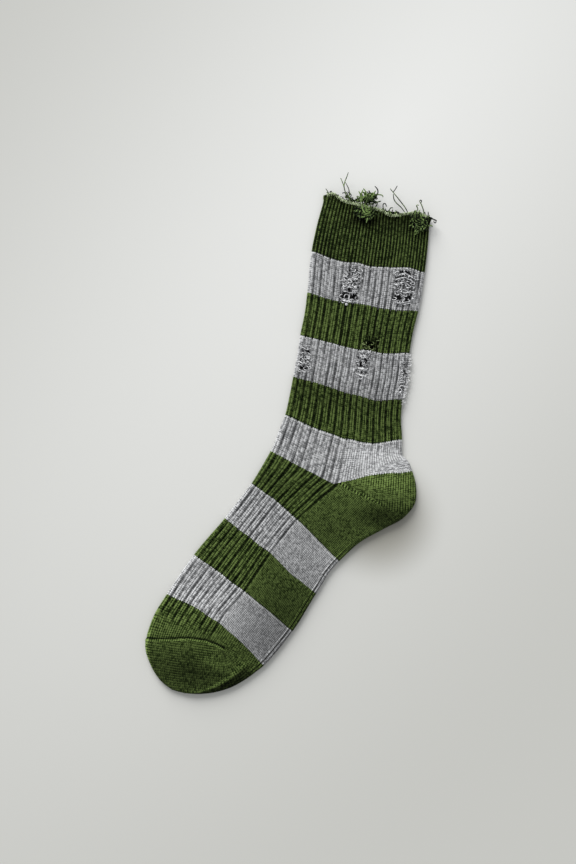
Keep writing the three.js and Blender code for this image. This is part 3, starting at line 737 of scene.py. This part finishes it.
def leg_gap(distance, turn):
    place = turn + waver(distance, turn)
    if place > 1:
        return False
    ragged = wander(place * 55, distance / 1.4, 2)
    torn = worn_at(distance, place) > TORN_FROM and ragged > TEAR_FROM
    return torn or in_hole(distance, place, HOLE_RAGGED * ragged)


leg = knit_tube("leg", STATION["stripe1"], STATION["stripe6"], ROW_STEP, leg_relief, leg_gap)
(STATION["stripe6"] - STATION["stripe1"]) * MM

# The foot with its heel. The rib goes on over the instep alone; the heel and the sole are a plain
# fine knit. The heel is knitted to and fro, which leaves a gore line from the ankle to the heel.
GORE = (Vector((1.4, 0.2)), Vector((34.5, -10.1)))
GORE_WIDTH = 1.0
GORE_DEPTH = 0.45
GORE_STITCH = 2.4
GORE_FADE = 0.25
# Lightness the gore's stitches gain as a painted highlight
GORE_HIGHLIGHT = 1.6
FOOT_WIDTH = 0.086  # laid flat, in metres
FOOT_STEP = 1.0  # between the rows of points along the foot and the toe
PLAIN_FROM = 0.52  # turn at which the plain knit begins
PLAIN_WALES = 4  # in the width of a leg rib
HEEL_WALE = 1.7  # width in mm

# The wales of the heel are even at its top and lean out below it, the more so the nearer to fold b
HEEL_TOP = 18.5
HEEL_REACH = 54  # x of fold b there
HEEL_LEAN = 0.12


def foot_relief(row, distance, turn):
    groove, depth = rib_groove(row, distance, turn)
    gore = dots = 0.0
    if 0.5 < turn < 1:
        place = plan(row, distance, turn)
        along = GORE[1] - GORE[0]
        share = min(max((place - GORE[0]).dot(along) / along.length_squared, 0), 1)
        gore = bell((place - GORE[0] - along * share).length, GORE_WIDTH) * (1 - GORE_FADE * share)
        dots = 0.5 + 0.5 * math.cos(2 * math.pi * share * along.length / GORE_STITCH)
    lift = (dots - 0.6) * gore * GORE_DEPTH - depth
    # The gore's stitches get painted highlights, and the gaps between them painted shade
    return lift, max(groove, gore * (1 - dots)), gore * dots * GORE_HIGHLIGHT


def heel_lie(corner):
    """Wale and course of a corner on the heel."""
    lean = (HEEL_TOP - corner.y) * HEEL_LEAN * (corner.x / HEEL_REACH) ** 2
    return (corner.x - lean) / HEEL_WALE, -corner.y


def foot_lie(place, distance, turn):
    """The wales of the heel and the sole. Over the gore they run down the heel, and under it they
    run along the foot."""
    if min(turn, 2 - turn) < PLAIN_FROM:
        return None
    course = COURSES["stripe7"]
    middle, fold = Vector(course[MIDDLE]), Vector(course[FOLD_B])
    across = (fold - middle).normalized()
    way = Vector((across.y, -across.x))
    spacing = (fold - middle).length / (LEG_RIBS / 2 * PLAIN_WALES)
    start = middle
    if distance > STATION["stripe7"]:
        start = Vector(course_at(distance)[MIDDLE])
    elif (place - GORE[0]).cross(GORE[1] - GORE[0]) <= 0:
        return heel_lie
    return lambda corner: ((corner - start).dot(across) / spacing, (corner - middle).dot(way))


foot = knit_tube(
    "foot", STATION["stripe6"], STATION["stripe10"], FOOT_STEP, foot_relief, lie_at=foot_lie
)
FOOT_CUT = (2 * FOOT_WIDTH, (STATION["stripe10"] - STATION["stripe6"]) * MM)

# The toe. It is plain knit, narrowed to a rounded end and closed by a linked seam over its top,
# which is given here by its points from the instep to the sole.
SEAM = [(-121, -130.7), (-100, -128), (-86, -125.4), (-74, -125.6), (-67, -127.2), (-62.5, -128.8)]
SEAM_END = Vector(SEAM[-1])
SEAM_WIDTH = 0.8
SEAM_RISE = 0.6
# Lightness the seam's ridge gains as a painted highlight
SEAM_HIGHLIGHT = 0.7
TROUGH_ABOVE = 1.6  # beside the seam, where the knit dips
TROUGH_DEPTH = 0.35
# Painted shade in the trough beside the seam
TROUGH_SHADE = 0.85
TOE_WAY = Vector((-0.39, -0.92))  # the way the wales come in from the sole
TOE_ASIDE = Vector((-TOE_WAY.y, TOE_WAY.x))
TOE_WALE = 1.75
TOE_BEND = 14


def beside_seam(place):
    """Distance of a place from the seam line, above it as a plus and below it as a minus."""
    nearest = (1000, 1)
    for (x0, y0), (x1, y1) in zip(SEAM, SEAM[1:]):
        start, along = Vector((x0, y0)), Vector((x1 - x0, y1 - y0))
        share = min(max((place - start).dot(along) / along.length_squared, 0), 1)
        offset = place - start - along * share
        nearest = min(nearest, (offset.length, 1 if offset.y > 0 else -1))
    return nearest[0] * nearest[1]


def toe_relief(row, distance, turn):
    groove, depth = rib_groove(row, distance, turn)
    if turn > 1:
        return -depth, groove, 0
    place = plan(row, distance, turn)
    above = beside_seam(place)
    ridge = bell(above, SEAM_WIDTH)
    trough = bell(above - TROUGH_ABOVE, SEAM_WIDTH)
    lift = ridge * SEAM_RISE - trough * TROUGH_DEPTH - depth
    # The seam's ridge gets a painted highlight and the trough beside it painted shade
    return lift, max(groove, trough * TROUGH_SHADE) * (1 - ridge), ridge * SEAM_HIGHLIGHT


# Wale and course of a corner on each part of the toe
def lie_along_sole(corner):
    return (corner - SEAM_END).dot(TOE_ASIDE) / TOE_WALE, (corner - SEAM_END).dot(TOE_WAY)


def lie_round_bend(corner):
    angle = math.atan2(corner.y - SEAM_END.y, corner.x - SEAM_END.x)
    return (corner - SEAM_END).length / TOE_WALE, -TOE_BEND * angle


def lie_below_seam(corner):
    return (SEAM_END.y - corner.y) / TOE_WALE, TOE_BEND * math.pi / 2 + SEAM_END.x - corner.x


def toe_lie(place, distance, turn):
    """The wales of the toe. They come along the sole, bend round the end of the seam and run on
    below it."""
    from_end = place - SEAM_END
    if from_end.dot(TOE_WAY) < 0:
        on_instep = from_end.dot(TOE_ASIDE) < 0 or min(turn, 2 - turn) < PLAIN_FROM
        return None if on_instep else lie_along_sole
    if from_end.x > 0:
        return lie_round_bend
    return lie_below_seam if beside_seam(place) < 0 else None


toe = knit_tube(
    "toe", STATION["stripe10"], LENGTH, FOOT_STEP, toe_relief, lie_at=toe_lie, closed_end=True
)
(LENGTH - STATION["stripe10"]) * MM

# Loose yarn in the ladders. The worn knit has come apart into short curls of its own yarn, and rungs
# of grey yarn still cross the holes. Small pale loops stand out along the calf fold.
LADDER_YARN = 0.5
YARN_END = 0.7  # thickness of a strand's end beside its middle
OBJECT_COORDINATES = 3
RANDOM_PER_ISLAND = 8


def yarn_material(name, light, dark, low, high, heaped=0.5, own=0.0):
    """Loose yarn, painted between a lit and a shaded colour. Heaped is how much painted shade darkens it
    where it lies low in a heap against where it lies high, own is how much one strand differs from the
    next, and the rest comes in patches."""
    finish, shader = new_finish(name, 0.95, 0.1)
    tree = finish.node_tree
    start = Wire(tree)
    place = start.node("ShaderNodeTexCoord", output=OBJECT_COORDINATES)
    height = start.node("ShaderNodeSeparateXYZ", (), {0: place}, output=2)
    patches = start.node("ShaderNodeTexNoise", (), {"Vector": place, "Scale": 700.0, "Detail": 2.0})
    fibres = start.node("ShaderNodeTexNoise", (), {"Vector": place, "Scale": 4000.0, "Detail": 2.0})
    strand = start.node("ShaderNodeNewGeometry", output=RANDOM_PER_ISLAND)
    light_share = patches.smooth(0.38, 0.62) * (1.3 - heaped) + fibres * 0.2
    light_share = light_share + height.smooth(low * MM, high * MM) * heaped + (strand - 0.5) * own
    colour = (light_share - 0.35).smooth(0, 1).between(dark, light)
    tree.links.new(colour.socket, shader.inputs["Base Color"])
    bump = start.node("ShaderNodeBump", (), {"Strength": 0.5, "Distance": 0.1 * MM, "Height": fibres})
    tree.links.new(bump.socket, shader.inputs["Normal"])
    return finish


def yarn(name, strands, thickness, finish, replaced):
    """Lengths of yarn along lists of points in metres, as one piece, thinner at their ends."""
    curve = bpy.data.curves.new(name, "CURVE")
    curve.dimensions = "3D"
    curve.bevel_depth = thickness / 2 * MM
    curve.bevel_resolution = 1
    curve.use_fill_caps = True
    for points in strands:
        spline = curve.splines.new("NURBS")
        spline.points.add(len(points) - 1)
        for k, (target, point) in enumerate(zip(spline.points, points)):
            target.co = (*point, 1)
            target.radius = YARN_END if k in (0, len(points) - 1) else 1
        spline.order_u = 3
        spline.use_endpoint_u = True
        spline.resolution_u = 3
    piece = bpy.data.objects.new(name, curve)
    add_alone(piece)
    bpy.ops.object.convert(target="MESH")
    bpy.ops.object.shade_smooth()
    piece.data.materials.clear()
    piece.data.materials.append(finish)
    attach(piece, "root")
    if replaced:
        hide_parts(*replaced)
    return piece


def skin_strand(places):
    """Points on or above the skin, from distances, turns and heights in mm."""
    return [skin_point(course_at(distance), distance, turn, above) for distance, turn, above in places]


grey_yarn = yarn_material("grey yarn", (0.95, 0.955, 0.96, 1), (0.16, 0.162, 0.17, 1), 3, 4.2)
moss_yarn = yarn_material(
    "moss yarn", (0.22, 0.33, 0.1, 1), (0.001, 0.004, 0.001, 1), 5.1, 9, heaped=0.7, own=1.1
)
pale_yarn = yarn_material("pale yarn", (0.9, 0.9, 0.9, 1), (0.55, 0.55, 0.55, 1), 0, 3)
worn_moss_yarn = yarn_material("worn moss yarn", (0.25, 0.31, 0.13, 1), (0.03, 0.05, 0.01, 1), 3.2, 4.8)
rng = random.Random(7)


def in_grey(distance, margin):
    """Whether a distance from the rim lies in a grey band, this far inside its edges."""
    bands = [(STATION[f"stripe{k}"], STATION[f"stripe{k + 1}"]) for k in range(1, 10, 2)]
    return any(start + margin < distance < end - margin for start, end in bands)


RUNGS = [
    # distance from the rim, place, half width in mm, how far the middle bulges to the rim
    (44.2, 0.828, 6.4, 3),
    (47.2, 0.83, 6.8, 2.4),
    (50.6, 0.825, 5, 1.8),
    (57, 0.83, 5.2, -0.6),
    (64.2, 0.83, 6.8, -1.2),
    (64.9, 0.835, 6, -1),
    (61.8, 0.385, 5.2, -0.8),
    (68.4, 0.385, 5.6, -1),
    (69, 0.375, 4.8, -0.9),
    (112.6, 0.094, 3.4, 1.2),
    (127, 0.089, 3.6, -0.8),
    (101, 0.6, 4.6, 1.4),
    (104.6, 0.59, 4, -1),
    (118.6, 0.585, 4.2, -1),
]
FLOATS = [
    # distance and place of both ends of a float, slipped from its rib
    (55, 0.33, 58.2, 0.44),
    (56.8, 0.335, 59.6, 0.43),
    (49.8, 0.37, 53, 0.42),
    (61.4, 0.84, 66, 0.83),
    (62, 0.38, 68, 0.378),
]
RUNG_LIFT = 0.8
FLOAT_LIFT = 0.9
KNOT = (70.8, 0.365)  # a small knot of yarn, by its distance from the rim and its place
KNOT_CURLS = (0.5, 0.8, 0.9)
CURLS = 0.95  # for each square mm of a quarter of a patch
PAST_EDGE = 1.05
CURL_WORN_FROM = 0.45
CURL_RADIUS = (0.8, 1.9)
CURL_SQUASH = (0.4, 1)
CURL_SWEEP = (2.2, 4.6)
CURL_LIFT = (0.4, 1.1)
CURL_SUNK = 0.2
HOLE_CLEAR = 0.3
GREY_MARGIN = 0.4


def curl_at(distance, place, radius, squash, start, sweep, above):
    """A curl of yarn over a place of the leg, its ends turned down into the knit."""
    steps = 8
    angles = [start + sweep * k / steps for k in range(steps + 1)]
    return skin_strand(
        (
            distance + radius * squash * math.sin(angle),
            min(max(place + radius / LEG_WIDTH * math.cos(angle), 0), 1),
            above * math.sin(math.pi * k / steps) - CURL_SUNK,
        )
        for k, angle in enumerate(angles)
    )


grey_curls, moss_curls = [], []
for at, middle, half_length, half_width in WORN_PATCHES:
    for _ in range(round(half_length * half_width * CURLS)):
        d = at + half_length * rng.uniform(-PAST_EDGE, PAST_EDGE)
        place = middle + half_width / LEG_WIDTH * rng.uniform(-PAST_EDGE, PAST_EDGE)
        radius, squash = rng.uniform(*CURL_RADIUS), rng.uniform(*CURL_SQUASH)
        start, sweep = rng.uniform(0, 2 * math.pi), rng.choice((-1, 1)) * rng.uniform(*CURL_SWEEP)
        curl = curl_at(d, place, radius, squash, start, sweep, rng.uniform(*CURL_LIFT))
        if worn_at(d, place) < CURL_WORN_FROM or in_hole(d, place, HOLE_CLEAR):
            continue
        if in_grey(d - bulge(d, place), GREY_MARGIN):
            grey_curls.append(curl)
        else:
            moss_curls.append(curl)
for at, middle, half_width, rise in RUNGS:
    points = []
    for k in range(9):
        u = k / 4 - 1
        d = at + rise * u * u + rng.uniform(-0.5, 0.5)
        points.append((d, middle + u * half_width / LEG_WIDTH, RUNG_LIFT * (1 - u * u)))
    grey_curls.append(skin_strand(points))
for start, start_place, end, end_place in FLOATS:
    points = []
    for k in range(7):
        share = k / 6
        d = start + (end - start) * share + rng.uniform(-0.2, 0.2)
        place = start_place + (end_place - start_place) * share
        points.append((d, place, FLOAT_LIFT * math.sin(math.pi * share)))
    grey_curls.append(skin_strand(points))
for radius in KNOT_CURLS:
    grey_curls.append(curl_at(*KNOT, radius, 0.8, radius * 9, 5.5, 1.0))
yarn("loose_yarn", grey_curls, LADDER_YARN, grey_yarn, ())
yarn("loose_moss_yarn", moss_curls, LADDER_YARN, worn_moss_yarn, ())

CALF_FUZZ = (101, 136)  # the stretch of the calf fold, from the rim
CALF_LOOPS = 76
CALF_LOOP_REACH = (0.6, 3)
CALF_LOOP_ROOT = 0.6  # how far in from the fold its ends are
CALF_YARN = 0.36
calf_loops = []
for _ in range(CALF_LOOPS):
    d = rng.uniform(*CALF_FUZZ)
    row = course_at(d)
    fold = plan(row, d, 1)
    out = (fold - plan(row, d, 0.98)).normalized()
    down = Vector((out.y, -out.x))
    reach, side = rng.uniform(*CALF_LOOP_REACH), rng.uniform(-1.4, 1.4)
    z = FOLD_HEIGHT + rng.uniform(-0.6, 1.4)
    points = []
    for k in range(7):
        angle = math.pi * k / 6 * rng.uniform(0.95, 1.1)
        beside = down * side * (1 - math.cos(angle)) / 2
        spot = fold + out * (reach * math.sin(angle) - CALF_LOOP_ROOT) + beside
        points.append(in_frame(spot.x, spot.y, z + 0.3 * k / 6))
    calf_loops.append(points)
yarn("calf_fuzz", calf_loops, CALF_YARN, pale_yarn, ("fray_calf",))

# Frayed yarn at the rim. Small loops stand up along the cut edge, and its courses have come undone
# into curled threads of moss yarn: single threads near the shin, a thick tuft in the middle that
# falls over the cuff, and one at the calf.
THREAD_STEP = 0.7
THREAD_CLIMB = 0.8
BOW_RISE = 0.9
RIM_TOP = 4.5
FUZZ_ROOT = 0.6  # how far in from the edge a single thread starts
FUZZ_CLIMB = 0.7
FUZZ_CURL = (-7, 7)


def ankle_points(points):
    """Points in metres, from places in mm measured from the ankle and heights in mm."""
    return [in_frame(x, y, z) for x, y, z in points]


def curly(x, y, z, heading, reach, curl, climb):
    """One curled thread. It leaves along its heading and turns more and more tightly as it goes."""
    steps = max(6, round(reach / THREAD_STEP))
    points = []
    for k in range(steps + 1):
        share = k / steps
        points.append((x, y, z + climb * math.sin(math.pi * min(share * 0.8, 1))))
        x += math.sin(heading) * reach / steps
        y += math.cos(heading) * reach / steps
        heading += curl * (0.3 + 1.4 * share) / steps + rng.uniform(-0.18, 0.18)
    return ankle_points(points)


def tuft(count, x, y, half_width, half_height, base, mound, headings, reaches, curls=(1.5, 4)):
    """Curled threads heaped over an oval of the rim. They start from a base height, and from up to
    a mound's height above it in the middle."""
    threads = []
    for _ in range(count):
        angle, span = rng.uniform(0, 2 * math.pi), math.sqrt(rng.random())
        root_x = x + half_width * span * math.cos(angle)
        root_y = y + half_height * span * math.sin(angle)
        z = base + mound * (1 - span) * rng.random()
        reach = rng.uniform(*reaches)
        curl = rng.choice((-1, 1)) * rng.uniform(*curls)
        heading = rng.uniform(*headings)
        threads.append(curly(root_x, root_y, z, heading, reach, curl, THREAD_CLIMB))
    return threads


def bows(count, x, y, half_widths, drops, z):
    """Threads that hang in nested bows over the cuff."""
    threads = []
    for k in range(count):
        share = k / (count - 1)
        half, drop = (low + (high - low) * share for low, high in (half_widths, drops))
        aside, lean = rng.uniform(-0.8, 0.8), rng.uniform(-0.25, 0.25)
        points = []
        for step in range(9):
            angle = math.pi * (1 - step / 8)
            across = half * math.cos(angle)
            hanging = y - drop * math.sin(angle) + lean * across
            points.append((x + aside + across, hanging, z + BOW_RISE * math.sin(angle)))
        threads.append(ankle_points(points))
    return threads


def rim_fuzz(count, start, end, headings, reaches):
    """Single threads along the rim, from one wale to another."""
    threads = []
    for k in range(count):
        wale = start + (end - start) * k / (count - 1)
        edge = plan(course_at(0), 0, wale)
        inside = plan(course_at(2), 2, wale)
        root = edge + (inside - edge).normalized() * FUZZ_ROOT
        heading, reach, curl = rng.uniform(*headings), rng.uniform(*reaches), rng.uniform(*FUZZ_CURL)
        threads.append(curly(root.x, root.y, RIM_TOP, heading, reach, curl, FUZZ_CLIMB))
    return threads


RIM_LOOPS = 58
RIM_LOOP_TOP = 6
RIM_LOOP_REACH = (0.2, 0.9)
RIM_LOOP_FOOT = 1.8  # how far down the cuff a loop is rooted
RIM_LOOP_HALF = 0.6
RIM_LOOP_YARN = 0.6
loops = []
for k in range(RIM_LOOPS):
    wale = 0.02 + 0.96 * (k + rng.uniform(-0.2, 0.2)) / RIM_LOOPS
    edge = plan(course_at(0), 0, wale)
    inward = (plan(course_at(2), 2, wale) - edge).normalized()
    aside = Vector((-inward.y, inward.x))
    reach = rng.uniform(*RIM_LOOP_REACH)
    points = []
    for across in (-1, -0.6, -0.2, 0.2, 0.6, 1):
        inside = RIM_LOOP_FOOT * abs(across) - reach * (1 - abs(across))
        spot = edge + inward * inside + aside * RIM_LOOP_HALF * across
        points.append((*spot, RIM_LOOP_TOP - 0.5 * abs(across)))
    loops.append(ankle_points(points))
# The loops are of the moss yarn, painted much lighter as a highlight along the rim
rim_highlight_yarn = yarn_material("rim yarn", (0.62, 0.72, 0.44, 1), (0.07, 0.1, 0.03, 1), 4, 6)
yarn("rim_chain", loops, RIM_LOOP_YARN, rim_highlight_yarn, ())

LEFT_THREADS = [
    [(-30, 200, 4.2), (-31, 203.6, 4.8), (-32.6, 206, 4.6), (-34.7, 208.3, 4.2)],
    [(-18.1, 200, 4.8), (-18.6, 204.5, 5.4), (-21, 208, 6), (-22.2, 212, 6), (-25.1, 217.1, 5)],
    [(-20.4, 207.4, 5.8), (-22.3, 211, 6.4), (-21.9, 215, 6.6), (-20.9, 218.3, 6.2), (-20.3, 221.8, 5.4)],
    [(-17.4, 201, 4.8), (-17.3, 206, 5.2), (-18.2, 210.6, 5.4), (-21.6, 214.7, 5.2)],
]
left_threads = [ankle_points(points) for points in LEFT_THREADS]
left_threads += tuft(9, -19.4, 205, 1.4, 3.6, 4.6, 0.6, (-3, 3), (4, 7))
left_threads += rim_fuzz(22, 0.03, 0.33, (-0.8, 0.5), (1.2, 3))
yarn("left_fray", left_threads, 0.66, moss_yarn, ("fray_left",))

CENTRE_THREADS = [
    [(1.5, 206, 6), (2.6, 209, 6.6), (2.6, 211.6, 6.4), (1.3, 213.5, 6), (-0.1, 214.6, 5.6)],
    [(-1, 207, 6.4), (1.5, 208.6, 6.8), (4.4, 209, 6.4), (6.4, 208.8, 6), (6.7, 207.6, 5.8)],
]
centre_threads = [ankle_points(points) for points in CENTRE_THREADS]

# The heap stands on the rim and thins out towards the shin
centre_threads += tuft(46, -3.4, 205.2, 4.6, 3.8, 3.8, 0.6, (-3.1, 3.1), (2, 4.5))
centre_threads += tuft(20, -12.6, 202, 4.2, 1, 4.2, 0.4, (-1.4, 1.4), (1.5, 3))
centre_threads += tuft(22, -4, 202.4, 5.2, 3, 5, 1, (-0.9, 1.5), (4, 8))

# It falls over the cuff. Longer threads leave it to the right, and bows hang from it.
centre_threads += tuft(54, -4.8, 196.6, 7, 3.8, 4.8, 0.6, (1.4, 4.8), (2.5, 5))
centre_threads += tuft(14, -6.4, 201.6, 3.4, 2.2, 6, 1, (-0.1, 1.3), (6, 11), (0.1, 1.4))
centre_threads += bows(5, -2.8, 201, (1.4, 4.8), (3, 8.4), 5.8)
centre_threads += tuft(6, -4, 192.6, 7, 1.6, 6, 0.4, (2, 4.4), (2, 4), (0.3, 1.5))
yarn("centre_fray", centre_threads, 0.84, moss_yarn, ("fray_centre",))

RIGHT_THREADS = [
    [(26.2, 198.6, 5), (24.6, 201.4, 5.6), (21.4, 204.5, 6), (16.1, 209.6, 6), (11, 214.4, 5.4)],
    [(25, 197.8, 5), (21, 202.2, 5.6), (16.8, 204.5, 6), (14.2, 207.4, 6), (13.7, 210.9, 5.6)],
    [(13.4, 212.3, 5.7), (14.6, 213.9, 5.8), (15.7, 217.1, 5.4)],
    [(38.1, 197, 5), (37.1, 201.8, 5.8), (34.9, 205.7, 5.8), (34.2, 207, 5.6), (33, 208.4, 5.4)],
    [(33, 208.4, 5.4), (33.4, 209.5, 5.4), (34.6, 209.1, 5.4), (34.4, 207.6, 5.4)],
    [(39, 198, 4.8), (42.4, 198.3, 5), (45.1, 197.1, 4.6), (46.8, 196.4, 4.4)],
    [(46.8, 196.4, 4.4), (47, 194.9, 4.4), (45.4, 194.8, 4.4), (45.2, 196.4, 4.4)],
    [(33, 200, 5), (32.6, 203.4, 5.6), (31.2, 204.6, 5.6), (31.6, 205.8, 5.6), (33, 205.4, 5.6)],
    [(8.3, 199, 4.8), (7.2, 202.2, 5.4), (8.1, 203.6, 5.4), (9.6, 203.1, 5.2), (10.2, 201.4, 5)],
    [(12.5, 198, 4.8), (12.6, 200.3, 5.4), (13.9, 201.3, 5.4), (15, 201, 5)],
]
right_threads = [ankle_points(points) for points in RIGHT_THREADS]

# This heap lies over the cuff itself, with threads that stand up from it and short ones below it
right_threads += tuft(60, 35.4, 193.8, 7, 5, 4.4, 0.8, (-3.1, 3.1), (3, 6))
right_threads += tuft(14, 34, 196.4, 7.6, 1.6, 5.8, 0.6, (-0.9, 1.9), (3, 6), (0.3, 2.5))
right_threads += tuft(9, 34.6, 188.4, 8, 3.2, 5.8, 0.3, (1, 5), (1, 2.2), (0.3, 2))
right_threads += rim_fuzz(15, 0.56, 0.72, (-1.2, 1.2), (2, 6))
yarn("right_fray", right_threads, 0.74, moss_yarn, ("fray_right",))

# The surface and the studio light. The sock lies on a pale floor with painted light and a painted shadow
# on it, lit softly from the upper left, and the camera looks straight down on it.
FLOOR_SIZE = 6
# Painted light on the floor, from its lit colour to its dim one, and the colour of the painted shadow by
# the heel
FLOOR_LIT = (0.985, 0.985, 0.96, 1)
FLOOR_DIM = (0.65, 0.648, 0.61, 1)
FLOOR_IN_HEEL_SHADOW = (0.3, 0.287, 0.24, 1)
HEEL_SHADE = 0.78
HEEL_SHADE_REACH = 0.051
bpy.ops.mesh.primitive_plane_add(size=FLOOR_SIZE, location=(0, 0, 0))
floor = bpy.context.active_object
floor.name = "floor"
floor_finish, floor_shader = new_finish("pale floor", 0.8, 0)
floor_start = Wire(floor_finish.node_tree)
floor_place = floor_start.node("ShaderNodeTexCoord", output=OBJECT_COORDINATES)
floor_x = floor_start.node("ShaderNodeSeparateXYZ", (), {0: floor_place}, output=0)
floor_y = floor_start.node("ShaderNodeSeparateXYZ", (), {0: floor_place}, output=1)


def away_from(x, y, lean=0.0, stretch=1.0):
    """Distance on the floor from a place given in mm from the ankle. A lean and a stretch make its
    rings ovals."""
    up = floor_y - (y + SHIFT_Y) * MM
    aside = floor_x - (x + SHIFT_X) * MM - up * lean
    along = up * stretch
    return (aside * aside + along * along).root()


# The floor is painted lightest beyond the rim and darker away from there. A soft shadow from the edge of
# the heel is painted on it.
falling_off = away_from(10, 260, lean=0.45, stretch=0.55).smooth(-0.112, 0.42)
open_floor = falling_off.between(FLOOR_LIT, FLOOR_DIM)
# Painted shadow of the heel's edge on the floor
painted_heel_shadow = (1 - away_from(36.5, -21) / HEEL_SHADE_REACH).smooth(0, 0.75) * HEEL_SHADE
floor_colour = painted_heel_shadow.between(open_floor, FLOOR_IN_HEEL_SHADOW)
floor_finish.node_tree.links.new(floor_colour.socket, floor_shader.inputs["Base Color"])
floor.data.materials.append(floor_finish)

PHOTO_MIDDLE = (-37.2, 31.85, 0)  # in mm from the ankle
CAMERA_HEIGHT = 0.864
CAMERA_TURN = math.radians(8)
aim = in_frame(*PHOTO_MIDDLE)
above = aim + Vector((0, 0, CAMERA_HEIGHT))
bpy.ops.object.camera_add(location=above, rotation=(0, 0, CAMERA_TURN))
camera = bpy.context.active_object
camera.data.lens = 50
camera.data.sensor_width = 36
bpy.context.scene.camera = camera

LIGHT_FROM = Vector((-0.9, 1.7, 0.85))
LIGHT_SOFTNESS = math.radians(40)
bpy.ops.object.light_add(type="SUN", location=aim + LIGHT_FROM)
light = bpy.context.active_object
light.rotation_euler = (aim - light.location).to_track_quat("-Z", "Y").to_euler()
light.data.energy = 3.64
light.data.angle = LIGHT_SOFTNESS
world = bpy.data.worlds.new("studio")
world.use_nodes = True
sky = world.node_tree.nodes["Background"]
sky.inputs["Color"].default_value = (0.96, 0.98, 1, 1)
sky.inputs["Strength"].default_value = 0.42
bpy.context.scene.world = world
bpy.context.scene.view_settings.view_transform = "Standard"
